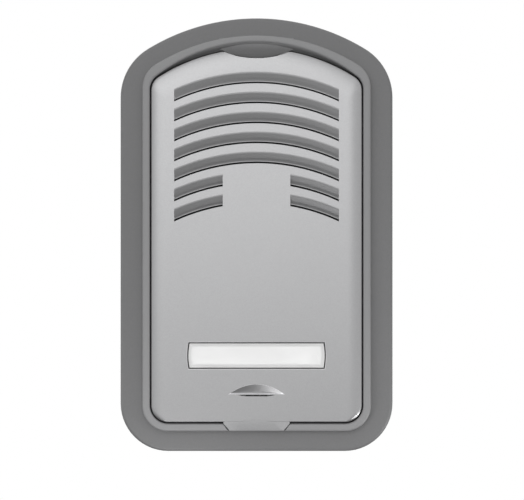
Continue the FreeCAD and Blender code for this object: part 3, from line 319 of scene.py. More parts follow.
def turn_on(mesh, vert, x, z, degrees, steps):
    """Carries a vertex round a centre, anticlockwise seen from the front."""
    spun = bmesh.ops.spin(
        mesh, geom=[vert], cent=(x, vert.co.y, z), axis=(0, -1, 0),
        angle=math.radians(degrees), steps=steps,
    )
    return [item for item in spun["geom_last"] if isinstance(item, bmesh.types.BMVert)][0]


def wires(mesh, known=()):
    """The loose edges that have just been drawn."""
    known = set(known)
    return [edge for edge in mesh.edges if edge.is_wire and edge not in known]


def arched(half_width, bottom, top, arc_radius, top_corner, bottom_corner):
    return {
        "side": half_width, "bottom": bottom, "centre": top - arc_radius, "radius": arc_radius,
        "upper": top_corner, "lower": bottom_corner,
    }


def inset(outline, distance):
    """The same outline moved in. Its arcs keep their centres."""
    moved = {key: value - distance for key, value in outline.items()}
    moved.update(bottom=outline["bottom"] + distance, centre=outline["centre"])
    return moved


def draw_outline(mesh, outline, out, known=()):
    """One closed loop of edges at a distance from the wall."""
    side, bottom, centre = outline["side"], outline["bottom"], outline["centre"]
    upper, lower = outline["upper"], outline["lower"]
    corner_x = side - upper
    corner_z = centre + math.sqrt((outline["radius"] - upper) ** 2 - corner_x ** 2)
    lean = math.degrees(math.atan2(corner_z - centre, corner_x))
    first = put_down(mesh, side, out, bottom + lower)
    pen = run_on(mesh, first, side, corner_z, SIDE_STEPS)
    pen = turn_on(mesh, pen, corner_x, corner_z, lean, CORNER_STEPS)
    pen = turn_on(mesh, pen, 0, centre, 180 - 2 * lean, ARC_STEPS)
    pen = turn_on(mesh, pen, -corner_x, corner_z, lean, CORNER_STEPS)
    pen = run_on(mesh, pen, -side, bottom + lower, SIDE_STEPS)
    pen = turn_on(mesh, pen, lower - side, bottom + lower, 90, CORNER_STEPS)
    pen = run_on(mesh, pen, side - lower, bottom, SIDE_STEPS)
    pen = turn_on(mesh, pen, side - lower, bottom + lower, 90, CORNER_STEPS)
    bmesh.ops.weld_verts(mesh, targetmap={pen: first})
    return wires(mesh, known)


def bridged(mesh, last, ring):
    """Bridges two loops, with the second held far off meanwhile, so that level loops can't twist."""
    verts = list({vert for edge in ring for vert in edge.verts})
    bmesh.ops.translate(mesh, verts=verts, vec=(0, 300, 0))
    bmesh.ops.bridge_loops(mesh, edges=last + ring)
    bmesh.ops.translate(mesh, verts=verts, vec=(0, -300, 0))


def skin(mesh, stations, closed=False, draw=draw_outline):
    """Bridges outline after outline. Each station is an outline and its distance from the wall."""
    first = draw(mesh, *stations[0])
    last = first
    for outline, out in stations[1:]:
        ring = draw(mesh, outline, out, last)
        bridged(mesh, last, ring)
        last = ring
    if closed:
        bridged(mesh, last, first)
    return first, last


def quarter(steps):
    """A quarter turn in steps: how far each has drawn in and how far it has risen, from 0 to 1."""
    angles = [math.radians(90 * number / steps) for number in range(steps + 1)]
    return [(1 - math.cos(angle), math.sin(angle)) for angle in angles]


def rounding(outline, out_edge, radius, steps, way=1):
    """Stations round an edge: from the wall of an outline over to its front face, or back."""
    return [
        (inset(outline, way * radius * inward), out_edge - radius + radius * rise)
        for inward, rise in quarter(steps)
    ]


print("steps in an outline:", 3 * SIDE_STEPS + 4 * CORNER_STEPS + ARC_STEPS)

# %% [markdown]
# A finished mesh becomes an object in one place: it is brought to metres, its
# doubles are merged, its faces are turned outwards, and its shading is smooth
# except over real corners.

# %% From a mesh to a dressed piece
def scene_object(name, data):
    made = bpy.data.objects.new(name, data)
    bpy.context.scene.collection.objects.link(made)
    return made


def baked(mesh, name):
    """Mesh data from a mesh that is done with."""
    data = bpy.data.meshes.new(name)
    mesh.to_mesh(data)
    mesh.free()
    return data


def even_normals(piece):
    piece.modifiers.new("even_normals", "WEIGHTED_NORMAL").keep_sharp = True


def to_piece(mesh, name, node, material, sharp=30, tidy=True, weigh=True):
    """Makes the object, sits it on its body and hides the node it stands for."""
    bmesh.ops.scale(mesh, vec=(MM, MM, MM), verts=mesh.verts)
    if tidy:
        bmesh.ops.remove_doubles(mesh, verts=mesh.verts, dist=1e-7)
        bmesh.ops.recalc_face_normals(mesh, faces=mesh.faces)
    data = baked(mesh, name)
    data.shade_smooth()
    data.set_sharp_from_angle(angle=math.radians(sharp))
    data.materials.append(material)
    piece = scene_object(name, data)
    if weigh:
        even_normals(piece)
    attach(piece, BODY_OF[node])
    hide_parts(node)
    print(name, len(data.polygons), "faces")
    return piece


def cut_with(mesh, cutters, operation="DIFFERENCE"):
    """Cuts one mesh by others with the Boolean modifier, and returns the result as a new mesh."""
    blank = scene_object("blank", baked(mesh, "blank"))
    tools = []
    for number, cutter in enumerate(cutters):
        bmesh.ops.recalc_face_normals(cutter, faces=cutter.faces)
        tool = scene_object("cutter", baked(cutter, "cutter"))
        step = blank.modifiers.new("cut_%d" % number, "BOOLEAN")
        step.operation = operation
        step.solver = "EXACT"
        step.object = tool
        tools.append(tool)
    bpy.context.view_layer.update()
    ready = blank.evaluated_get(bpy.context.evaluated_depsgraph_get())
    result = bmesh.new()
    result.from_mesh(ready.to_mesh())
    ready.to_mesh_clear()
    for item in tools + [blank]:
        bpy.data.objects.remove(item)
    return result


print("finishing helpers ready")

# %% [markdown]
# ## The surround
#
# The real surround is one moulding: a skirt that stands off the wall, a flat
# flange, a raised lip round the opening and a sleeve behind it. In section that
# is one closed line, so the whole moulding is one skin drawn through outlines:
# up the skirt, over its rounded edge, across the flange, over the lip, down its
# inner wall and back inside the hollow. Bridged rings keep the long arcs round,
# where a coarse solid would show flats.

# %% Sizes of the surround
FLANGE_OUT = 28.5
LIP_OUT = 32.0
PLATE_OUT = 32.5
SLEEVE_BACK = 13.0
SKIRT_BACK = 1.5
LIP_ROUND = 0.9
TAB_LOW = 71.4
OPENING_TOP = 75.5
SLOPE_RISE = 2.1
SLOPE_START = 29.0
body_line = arched(55.0, -87.5, 87.5, 84.3, 23.0, 19.3)
lip_line = arched(46.0, -79.1, 80.2, 77.0, 11.0, 10.0)
opening_line = arched(43.0, -76.1, OPENING_TOP, 74.1, 6.9, 7.4)


def opening_at(rise):
    """The opening with its top arc lifted, as the lip's inner wall slopes."""
    chord = opening_line["side"]
    shoulder = opening_line["centre"] + math.sqrt(opening_line["radius"] ** 2 - chord ** 2)
    sagitta = OPENING_TOP + rise - shoulder
    radius = (chord ** 2 + sagitta ** 2) / (2 * sagitta)
    return arched(chord, opening_line["bottom"], OPENING_TOP + rise, radius,
                  opening_line["upper"], opening_line["lower"])


print("opening centre at the crest:", round(opening_at(SLOPE_RISE)["centre"], 2))

# %% The moulding's section, outline by outline
stations = [(inset(body_line, 0.25), SKIRT_BACK), (body_line, SKIRT_BACK + 0.25)]
stations += [(body_line, out) for out in (10.0, 20.0)]
stations += rounding(body_line, FLANGE_OUT, 1.3, 7)
foot = inset(lip_line, -0.35)
stations += [(inset(body_line, 1.8), FLANGE_OUT), (inset(lip_line, -0.8), FLANGE_OUT), (foot, FLANGE_OUT)]
stations += [(inset(lip_line, -0.12), FLANGE_OUT + 0.12), (lip_line, FLANGE_OUT + 0.35)]
stations += rounding(lip_line, LIP_OUT, LIP_ROUND, 7)
stations += rounding(opening_at(SLOPE_RISE), LIP_OUT, LIP_ROUND, 7, way=-1)[::-1]
for share in (0.75, 0.5, 0.25):
    depth = SLOPE_START + (LIP_OUT - LIP_ROUND - SLOPE_START) * share
    stations.append((opening_at(SLOPE_RISE * share), depth))
stations += [(opening_line, SLOPE_START), (opening_line, SLEEVE_BACK)]
stations += [(lip_line, SLEEVE_BACK), (lip_line, FLANGE_OUT - 2.5)]
hollow_line = inset(body_line, 2.5)
stations += [(hollow_line, FLANGE_OUT - 2.5), (hollow_line, SKIRT_BACK)]
surround = bmesh.new()
skin(surround, stations, closed=True)
print("surround rings:", len(stations), "faces:", len(surround.faces))

# %% [markdown]
# A tab hangs from the middle of the lip and holds the plate's top edge; a notch
# at the bottom lets the plate's finger tongue through. The tab is drawn flat and
# extruded, with its tips where they meet the sloping wall, and its face is
# sliced off leaning, deeper towards its low edge. The notch is a plain cut. Each
# cutter stands proud of the face it cuts, so that no two faces share a plane.

# %% Solid blocks and bars, used from here on
PROUD = 1.0


def fill(mesh, edges):
    return bmesh.ops.edgeloop_fill(mesh, edges=edges)["faces"]


def closed_skin(stations, draw):
    """A skin with its first and last loops filled."""
    mesh = bmesh.new()
    for rim in skin(mesh, stations, draw=draw):
        fill(mesh, rim)
    return mesh


def pull(mesh, faces, depth):
    """Extrudes flat faces towards the wall into a closed block."""
    grown = bmesh.ops.extrude_face_region(mesh, geom=faces, use_keep_orig=True)
    moved = [item for item in grown["geom"] if isinstance(item, bmesh.types.BMVert)]
    bmesh.ops.translate(mesh, vec=(0, depth, 0), verts=moved)


def slab(corners, out_low, out_high):
    """A closed block with a flat front face, from that face's corners."""
    mesh = bmesh.new()
    face = mesh.faces.new([put_down(mesh, x, out_high, z) for x, z in corners])
    pull(mesh, [face], out_high - out_low)
    return mesh


def block(x_low, x_high, out_low, out_high, z_low, z_high):
    corners = [(x_low, z_low), (x_high, z_low), (x_high, z_high), (x_low, z_high)]
    return slab(corners, out_low, out_high)


def round_bar(radius, x, out, z, depth, segments):
    """A round bar square to the wall, given by its middle."""
    mesh = bmesh.new()
    bmesh.ops.create_cone(mesh, cap_ends=True, segments=segments, radius1=radius, radius2=radius, depth=depth)
    bmesh.ops.rotate(mesh, verts=mesh.verts, cent=(0, 0, 0), matrix=Matrix.Rotation(math.radians(90), 3, "X"))
    bmesh.ops.translate(mesh, verts=mesh.verts, vec=(x, -out, z))
    return mesh


def slice_off(mesh, point, normal):
    """Takes away what lies beyond a plane and closes the cut."""
    everything = mesh.verts[:] + mesh.edges[:] + mesh.faces[:]
    cut = bmesh.ops.bisect_plane(
        mesh, geom=everything, plane_co=point, plane_no=normal, clear_outer=True, dist=1e-5
    )
    rim = [item for item in cut["geom_cut"] if isinstance(item, bmesh.types.BMEdge)]
    return fill(mesh, rim) if rim else []


def round_over(mesh, items, width, steps, affect="EDGES"):
    bmesh.ops.bevel(
        mesh, geom=items, offset=width, offset_type="OFFSET", segments=steps, profile=0.5,
        affect=affect, clamp_overlap=True, material=-1,
    )


print("solid helpers ready")

# %% The tab that hangs from the lip
TAB_HALF = 15.0
TAB_BACK = 28.5
TAB_FACE = 30.4
tab_wall = opening_at(SLOPE_RISE * (TAB_FACE - SLOPE_START) / (LIP_OUT - SLOPE_START))
tab_tip = tab_wall["centre"] + math.sqrt(tab_wall["radius"] ** 2 - TAB_HALF ** 2)


def draw_tab(mesh, grown, out, known=()):
    """A hanging arc between two tips, carried up into the lip."""
    half, tip, low = TAB_HALF + grown, tab_tip - grown, TAB_LOW - grown
    radius = (half ** 2 + (tip - low) ** 2) / (2 * (tip - low))
    sweep = 2 * math.degrees(math.asin(half / radius))
    roof = lip_line["centre"] + lip_line["radius"] - LIP_ROUND
    first = put_down(mesh, half, out, tip)
    pen = turn_on(mesh, first, 0, low + radius, -sweep, 40)
    pen = run_on(mesh, pen, -half, roof)
    pen = run_on(mesh, pen, half, roof)
    pen = run_on(mesh, pen, half, tip)
    bmesh.ops.weld_verts(mesh, targetmap={pen: first})
    return wires(mesh, known)


tab = bmesh.new()
pull(tab, fill(tab, draw_tab(tab, 0, TAB_FACE)), TAB_FACE - TAB_BACK)
lean = Vector((0, -1, -0.3)).normalized()
sloped = slice_off(tab, (0, -TAB_FACE, OPENING_TOP + 1.1), lean)
tab_edges = [edge for face in sloped for edge in face.edges]
tab_rim = [edge for edge in tab_edges if max(vert.co.z for vert in edge.verts) < tab_tip]
round_over(tab, tab_rim, 0.3, 3)
print("tab faces:", len(tab.faces), "rounded edges:", len(tab_rim))

# %% The notch for the plate's tongue
TONGUE_HALF = 13.3
TONGUE_END = 10.8
TONGUE_REACH = 2.8
TONGUE_OUT = 32.44


def tongue_corners(grown):
    knee = opening_line["bottom"]
    near, far, end = TONGUE_HALF + grown, TONGUE_END + grown, knee - TONGUE_REACH - grown
    return [(near, knee + 4.2), (-near, knee + 4.2), (-near, knee), (-far, end), (far, end), (near, knee)]


notch = slab(tongue_corners(0.4), 30.3, LIP_OUT + PROUD)
surround = cut_with(surround, [notch])
print("surround faces after the notch:", len(surround.faces))

# %% [markdown]
# Behind the lip, the moulding carries what the plate rests on and what the base
# is screwed to: a ledge round the sides and bottom, four screw ears, and a boss
# for the lock screw. They show when the plate is tilted open, so they are here,
# each from the plainest shape that gives it.

# %% Ledge, ears and lock boss
LEDGE_FRONT = 25.5
LEDGE_BACK = 23.5
LEDGE_TOP = 56.0
EARS = [(side * 37.6, height) for side in (-1, 1) for height in (52.0, -64.0)]
LOCK_OUT = 24.0


def joined(target, other):
    """Adds one mesh to another as a separate closed part of the same piece."""
    bmesh.ops.recalc_face_normals(other, faces=other.faces)
    data = baked(other, "part")
    target.from_mesh(data)
    bpy.data.meshes.remove(data)


def drilled_bar(radius, hole, x, z, out_low, out_high):
    """A round bar with a hole through it: one profile, given a full turn."""
    mesh = bmesh.new()
    profile = [(hole, out_low), (radius, out_low), (radius, out_high), (hole, out_high), (hole, out_low)]
    verts = [put_down(mesh, x + reach, out, z) for reach, out in profile]
    edges = []
    for start, end in zip(verts, verts[1:]):
        edges += bmesh.ops.contextual_create(mesh, geom=[start, end])["edges"]
    bmesh.ops.spin(
        mesh, geom=verts + edges, cent=(x, 0, z), axis=(0, 1, 0), angle=math.tau, steps=48, use_merge=True,
    )
    bmesh.ops.remove_doubles(mesh, verts=mesh.verts, dist=1e-4)
    return mesh


ledge = bmesh.new()
edge_out = inset(opening_line, -1.5)
edge_in = inset(opening_line, 2.2)
skin(ledge, [(edge_out, LEDGE_BACK), (edge_out, LEDGE_FRONT), (edge_in, LEDGE_FRONT), (edge_in, LEDGE_BACK)],
     closed=True)
lug_room = block(-4.6, 4.6, 20, 30, -80, 0)
upper_part = block(-60, 60, 20, 30, LEDGE_TOP, 90)
joined(surround, cut_with(ledge, [lug_room, upper_part]))
for x, z in EARS:
    joined(surround, drilled_bar(4.9, 1.65, x, z, 13.0, 16.0))
    side = math.copysign(1, x)
    near, wall = sorted((x + side * 2.2, side * 44.5))
    joined(surround, block(near, wall, 13.02, 15.98, z - 4.9, z + 4.9))
boss = drilled_bar(4.2, 1.7, 0, 0, 0, 8.6)
bmesh.ops.rotate(boss, verts=boss.verts, cent=(0, 0, 0), matrix=Matrix.Rotation(math.radians(-90), 3, "X"))
bmesh.ops.translate(boss, verts=boss.verts, vec=(0, -LOCK_OUT, -86.25))
low_z, high_z = min(v.co.z for v in boss.verts), max(v.co.z for v in boss.verts)
joined(surround, boss)
print("lock boss from z", round(low_z, 2), "to", round(high_z, 2))

# %% The surround becomes a piece
joined(surround, tab)
to_piece(surround, "surround_moulding", "surround_housing", housing_plastic)

# %% [markdown]
# ## The silver plate
#
# The plate is a shallow tray with a crowned edge. Its skin is drawn in the same
# way as the surround, and closed front and back with one face each. Then it is
# cut, as a toolmaker would cut the mould: seven rows of louvres, the window, the
# crescent and two relieved places at top and bottom. The crown is part of an
# ellipse, much wider than it is deep, widest along the top arc and narrowest
# along the bottom.

# %% The plate's blank
PLATE_BACK = 26.5
SKIN_BACK = 30.7
CROWN, CROWN_SIDE, CROWN_TOP, CROWN_FOOT, CROWN_FROM = 1.1, 6.0, 8.8, 0.45, 35
plate_line = inset(opening_line, 0.5)


def crowned(share):
    """The plate's line drawn in, most along its top arc and least along its bottom."""
    line = inset(plate_line, CROWN_SIDE * share)
    line["radius"] -= (CROWN_TOP - CROWN_SIDE) * share
    line["bottom"] -= (CROWN_SIDE - CROWN_FOOT) * share
    return line


stations = [(inset(plate_line, 2.0), SKIN_BACK), (inset(plate_line, 2.0), PLATE_BACK)]
stations += [(inset(plate_line, 0.2), PLATE_BACK), (plate_line, PLATE_BACK + 0.2)]
stations += [(plate_line, PLATE_OUT - CROWN - 0.3), (inset(plate_line, 0.07), PLATE_OUT - CROWN - 0.1)]
steep = math.radians(CROWN_FROM)
for number in range(1, 15):
    angle = steep + (math.pi / 2 - steep) * number / 14
    drop = CROWN * (1 - math.sin(angle)) / (1 - math.sin(steep))
    stations.append((crowned(1 - math.cos(angle) / math.cos(steep)), PLATE_OUT - drop))
blank = closed_skin(stations, draw_outline)
bmesh.ops.recalc_face_normals(blank, faces=blank.faces)
tongue = slab(tongue_corners(0), SKIN_BACK - 0.02, TONGUE_OUT)
blank = cut_with(blank, [tongue], "UNION")
print("plate blank faces:", len(blank.faces))

# %% [markdown]
# ## One louvre row
#
# A row is a slit, a narrow land above it and a sloping band that fades out at a
# rounded edge.
# Its section is drawn once, with the edge rounded by a vertex bevel, and spun
# about the far centre of its arc. Slicing the ends upright gives the straight
# ends of the real louvres. The last two rows leave a bare panel in the middle.

# %% The louvre section, spun and sliced
LOUVRE_RADIUS = 79.0
LOUVRE_PITCH = 8.05
FIRST_SLIT = 61.3
LOUVRE_HALF = 33.15
PANEL_HALF = 13.6
SLIT, BAND, DEPTH, LAND = 0.8, 3.6, 1.6, 0.45
LOUVRE_ROWS, FULL_ROWS = 7, 5


def louvre_bar(points, row, x_low, x_high, soften=None):
    """A row's closed (out, z) section, turned about its arc's centre and sliced to its ends."""
    drop = LOUVRE_PITCH * row
    centre = (0, 0, FIRST_SLIT - LOUVRE_RADIUS - drop)
    mesh = bmesh.new()
    verts = [put_down(mesh, 0, out, z - drop) for out, z in points]
    mesh.faces.new(verts)
    if soften is not None:
        round_over(mesh, [verts[soften]], 0.5, 5, "VERTICES")
    reach = math.radians(27)
    bmesh.ops.rotate(mesh, verts=mesh.verts, cent=centre, matrix=Matrix.Rotation(-reach, 3, "Y"))
    bmesh.ops.spin(
        mesh, geom=mesh.verts[:] + mesh.edges[:] + mesh.faces[:], cent=centre, axis=(0, 1, 0),
        angle=2 * reach, steps=54, use_duplicate=False,
    )
    slice_off(mesh, (x_low, 0, 0), (-1, 0, 0))
    slice_off(mesh, (x_high, 0, 0), (1, 0, 0))
    return mesh


def row_spans(row, margin=0.0):
    half, inner = LOUVRE_HALF + margin, PANEL_HALF - margin
    return [(-half, half)] if row < FULL_ROWS else [(-half, -inner), (inner, half)]


low = FIRST_SLIT - SLIT / 2
high = low + SLIT
top = high + BAND
floor_out = PLATE_OUT - DEPTH
cut_section = [
    (PLATE_OUT + PROUD, low), (29.4, low), (29.4, high), (floor_out, high), (floor_out, high + LAND),
    (PLATE_OUT, top - 0.02), (PLATE_OUT + 0.015, top + 1.3), (PLATE_OUT + PROUD, top + 1.3),
]
louvre_cutter = bmesh.new()
for row in range(LOUVRE_ROWS):
    for x_low, x_high in row_spans(row):
        joined(louvre_cutter, louvre_bar(cut_section, row, x_low, x_high, soften=5))
print("louvre cutter faces:", len(louvre_cutter.faces))

# %% [markdown]
# ## Window, crescent and relieved places
#
# The window hole has straight long sides and ends that swell slightly, and its
# rim is softened, which catches a thin bright line. The crescent over the
# microphone is what is left when a long round bar is laid into the plate on a
# slope and stopped at a leaning lip. A lens-shaped slit along its foot leads to
# the microphone.

# %% The window's outline and hole
WINDOW_HALF, WINDOW_RISE, WINDOW_SWELL, WINDOW_ROUND, WINDOW_Z = 27.85, 5.3, 0.5, 0.3, -48.7


def draw_window(mesh, grown, out, known=()):
    """Straight long sides, ends on a wide arc, and small round corners."""
    half, rise = WINDOW_HALF + grown, WINDOW_RISE + grown
    radius = (rise ** 2 + WINDOW_SWELL ** 2) / (2 * WINDOW_SWELL)
    sweep = math.degrees(math.asin(rise / radius))
    end = half - WINDOW_SWELL
    first = put_down(mesh, end, out, WINDOW_Z - rise)
    pen = turn_on(mesh, first, half - radius, WINDOW_Z, 2 * sweep, 10)
    pen = run_on(mesh, pen, -end, WINDOW_Z + rise, 24)
    pen = turn_on(mesh, pen, radius - half, WINDOW_Z, 2 * sweep, 10)
    pen = run_on(mesh, pen, end, WINDOW_Z - rise, 24)
    bmesh.ops.weld_verts(mesh, targetmap={pen: first})
    return wires(mesh, known)


# the cutter opens out where it meets the plate's face, so that the rim is rounded
curl = PLATE_OUT - WINDOW_ROUND
stations = [(0.0, SKIN_BACK - 1)]
stations += [(WINDOW_ROUND * inward, curl + WINDOW_ROUND * rise) for inward, rise in quarter(4)]
stations[-1] = (WINDOW_ROUND, PLATE_OUT + 0.004)
window_cutter = closed_skin(stations + [(WINDOW_ROUND, PLATE_OUT + PROUD)], draw_window)
print("window cutter faces:", len(window_cutter.faces))

# %% The crescent, the tongue's relief and the top notch
def scoop(out_front, top_z, bottom_z, depth, width, lean=0):
    """A long round bar that slopes in from its top point and stops at a line, on a level or leaning face."""
    rise = top_z - bottom_z
    slope = Vector((0, depth, -rise)).normalized()
    outward = slope.cross(Vector((1, 0, 0)))
    sink = depth * rise / math.hypot(depth, rise)
    radius = ((width / 2) ** 2 + sink ** 2) / (2 * sink)
    mesh = bmesh.new()
    bmesh.ops.create_cone(
        mesh, cap_ends=True, segments=360, radius1=radius, radius2=radius, depth=3 * rise
    )
    turn = Vector((0, 0, 1)).rotation_difference(slope).to_matrix()
    bmesh.ops.rotate(mesh, verts=mesh.verts, cent=(0, 0, 0), matrix=turn)
    start = Vector((0, -out_front, top_z)) + outward * radius + slope * rise / 2
    bmesh.ops.translate(mesh, verts=mesh.verts, vec=start)
    tilt = math.radians(lean)
    slice_off(mesh, (0, -out_front, bottom_z), (0, math.sin(tilt), -math.cos(tilt)))
    slice_off(mesh, (width, 0, 0), (1, 0, 0))
    slice_off(mesh, (-width, 0, 0), (-1, 0, 0))
    return mesh


PORT_Z, PORT_RISE, PORT_DEPTH, PORT_WIDTH = -64.35, 4.1, 1.7, 22.6
port = scoop(PLATE_OUT, PORT_Z + PORT_RISE, PORT_Z, PORT_DEPTH, PORT_WIDTH, lean=16)
slit_sides = ((7.6, 0.1), (-7.6, 0.1), (-6.4, 0.45), (-4.2, 0.74), (4.2, 0.74), (6.4, 0.45))
slit_line = [(x, PORT_Z - below) for x, below in slit_sides]
port_slit = slab(slit_line, 28, PLATE_OUT + PROUD)
pad_slit, cup_slit = port_slit.copy(), port_slit.copy()
tongue_end = opening_line["bottom"] - TONGUE_REACH
relief = scoop(PLATE_OUT, opening_line["bottom"] + 2.6, tongue_end - 0.1, 0.35, 2 * TONGUE_HALF - 3)
top_notch = closed_skin([(0.4, 28.2), (0.4, PLATE_OUT + PROUD)], draw_tab)
row_cutter = louvre_cutter.copy()
plate = cut_with(blank, [louvre_cutter, window_cutter, port, port_slit, relief, top_notch])
print("plate faces after the cuts:", len(plate.faces))

# %% A soft rim on the crescent
RIM_ROUND = 0.34


def on_rim(vert):
    """Whether a vertex lies on the plate's face, round the crescent."""
    level = PORT_Z - 0.2 < vert.co.z < PORT_Z + PORT_RISE + 0.2
    return level and abs(vert.co.y + PLATE_OUT) < 1e-3 and abs(vert.co.x) < PORT_WIDTH / 2 + 0.3


rim = [edge for edge in plate.edges if all(on_rim(vert) for vert in edge.verts)]
round_over(plate, rim, RIM_ROUND, 4)
print("crescent rim edges:", len(rim))

# %% [markdown]
# Behind the skin the plate carries a seat ring and three screw bosses for the
# speaker, four posts for the circuit board, a guide frame round the push and a
# cup for the microphone. They are plain turned or drawn shapes on the back, and
# they show from below when the plate hangs open.

# %% What the plate's back carries
SPEAKER_Z, SPEAKER_R = 34.5, 28.5
SEAT_OUT, FLANGE_BACK = 29.4, 27.1
BOARD_OUT = 20.0
POSTS = [(side * 33.5, height) for side in (-1, 1) for height in (-2.4, -54.4)]
CLAMP_RING = SPEAKER_R + 0.4 + 2.9
CLAMPS = [
    (CLAMP_RING * math.sin(math.radians(angle)), SPEAKER_Z + CLAMP_RING * math.cos(math.radians(angle)))
    for angle in (0, 117, -117)
]
seat = drilled_bar(SPEAKER_R, SPEAKER_R - 2.6, 0, SPEAKER_Z, SEAT_OUT, SKIN_BACK + 0.05)
for x, z in CLAMPS:
    joined(seat, drilled_bar(2.9, 1.5, x, z, FLANGE_BACK, SKIN_BACK + 0.05))
joined(plate, cut_with(seat, [row_cutter]))
for x, z in POSTS:
    joined(plate, drilled_bar(3.0, 1.5, x, z, BOARD_OUT, SKIN_BACK + 0.05))
guide = bmesh.new()
skin(guide, [(1.95, SKIN_BACK + 0.05), (3.35, SKIN_BACK + 0.05), (3.35, 25.7), (1.95, 25.7)],
     closed=True, draw=draw_window)
joined(plate, guide)
joined(plate, cut_with(drilled_bar(5.5, 4.3, 0, PORT_Z, 23.3, SKIN_BACK + 0.05), [cup_slit]))
pad = block(-7.8, 7.8, 29.5, SKIN_BACK + 0.05, PORT_Z - 3.0, PORT_Z + PORT_RISE)
joined(plate, cut_with(pad, [pad_slit]))
lug = block(-4.0, 4.0, LOCK_OUT - 4.0, 27.5, plate_line["bottom"], plate_line["bottom"] + 3.4)
lock_hole = bmesh.new()
bmesh.ops.create_cone(lock_hole, cap_ends=True, segments=32, radius1=1.7, radius2=1.7, depth=8)
bmesh.ops.translate(lock_hole, verts=lock_hole.verts, vec=(0, -LOCK_OUT, plate_line["bottom"] + 1.7))
joined(plate, cut_with(lug, [lock_hole]))
print("plate faces with its back:", len(plate.faces))

# %% The tongues behind the louvres
tip_out = floor_out - 1.0
root = high + LAND + (SKIN_BACK - tip_out) * (BAND - LAND) / DEPTH
back_section = [
    (floor_out - 0.02, high), (tip_out, high), (tip_out, high + LAND), (SKIN_BACK, root),
    (SKIN_BACK + 0.25, root),
]
for row in range(LOUVRE_ROWS):
    for x_low, x_high in row_spans(row, 1.1):
        joined(plate, louvre_bar(back_section, row, x_low, x_high))
print("plate faces with its louvre backs:", len(plate.faces))

# %% [markdown]
# The crescent's rounded rim, its lower lip and the window's rim carry a painted
# highlight: they are marked with a face attribute that the silver finish reads,
# which paints them paler and less metallic. The crescent's bowl is cut by a
# level plane first, so that a narrow band above its slit can be marked too.

# %% Rims with a painted highlight, and the plate as a piece
LIP_BAND = 0.6


def near_crescent(face, below=0.4):
    middle = face.calc_center_median()
    level = PORT_Z - below < middle.z < PORT_Z + PORT_RISE + 0.4
    return level and abs(middle.x) < PORT_WIDTH / 2 + 0.5 and -middle.y > 30


plate.normal_update()
bowl = [
    face for face in plate.faces
    if near_crescent(face, 0) and face.normal.y < -0.8 and face.calc_area() < 5
]
lines = {edge for face in bowl for edge in face.edges}
points = {vert for face in bowl for vert in face.verts}
bmesh.ops.bisect_plane(plate, geom=bowl + list(lines) + list(points), dist=1e-5,
                       plane_co=(0, 0, PORT_Z + LIP_BAND), plane_no=(0, 0, 1))
plate.normal_update()
# painted highlight: faces on the crescent's and window's rims are marked for it
painted_sheen = plate.faces.layers.float.new("painted_sheen")
brightened = 0
for face in plate.faces:
    middle = face.calc_center_median()
    out, frontal = -middle.y, abs(face.normal.y)
    rim_face = out > PLATE_OUT - RIM_ROUND - 0.02 and 0.93 < frontal < 0.9995 and face.calc_area() < 1.0
    slanted = frontal < 0.985 and middle.z < PORT_Z + LIP_BAND
    lip_face = out > PLATE_OUT - 1.8 and (abs(face.normal.z) > 0.85 or slanted)
    in_window = abs(middle.x) < 29 and abs(middle.z - WINDOW_Z) < 6.2
    at_window = in_window and frontal < 0.985 and out > PLATE_OUT - WINDOW_ROUND
    at_crescent = near_crescent(face) and (rim_face or lip_face)
    if at_crescent or at_window:
        face[painted_sheen] = 1.0 if at_crescent else 0.5
        brightened += 1
print("polished faces:", brightened)
to_piece(plate, "louvred_plate", "front_plate", plate_silver)

# %% [markdown]
# ## The call push
#
# The name window is a clear cap over a white card, and behind the card a white
# light guide spreads the light of four diodes. A solid glass material would
# hold back the light that should reach the card, so the cap is a thin gloss
# surface that is mostly see-through, which also survives an export. The card
# and the cap glow faintly of their own: painted light, as no lamp stands behind
# them.

# %% Cap, card and light guide finishes
# painted light: the cap glows faintly of its own
lens_clear = finish(
    "lens_clear", (0.93, 0.93, 0.93), 0.22, grains=900.0, bump=0.002, speckle=0.01, drift=0.01,
    matt=0.04, Alpha=0.62, IOR=1.49, Emission_Color=(1, 1, 1, 1), Emission_Strength=0.1,
)
# painted light: the card glows of its own to look bright
card_paper = finish(
    "card_paper", (0.93, 0.93, 0.925), 0.75, grains=2600.0, bump=0.01, speckle=0.03, drift=0.02,
    Emission_Color=(1, 1, 1, 1), Emission_Strength=0.27,
)
carrier_white = finish(
    "carrier_white", (0.86, 0.86, 0.85), 0.42, grains=1400.0, bump=0.01, speckle=0.03, drift=0.03,
)
LENS_OUT, CARRIER_FRONT, CAP_WALL = 32.8, 30.65, 1.2
stations = [(-1.6, LENS_OUT - CAP_WALL), (-1.6, CARRIER_FRONT), (-0.4, CARRIER_FRONT)]
stations += [(-0.4 - 0.5 * inward, LENS_OUT - 0.5 + 0.5 * rise) for inward, rise in quarter(6)]
cap = closed_skin(stations, draw_window)
to_piece(cap, "window_cap", "call_button_lens", lens_clear)

# %% [markdown]
# ## The pieces that the solids already have right
#
# A bracket or a screw that is hidden behind the plate needs no new form. A copy
# of its solid is merged, its flat parts are dissolved into single faces, and a
# narrow bevel gives it edges that catch light. The solid itself stays as it is.

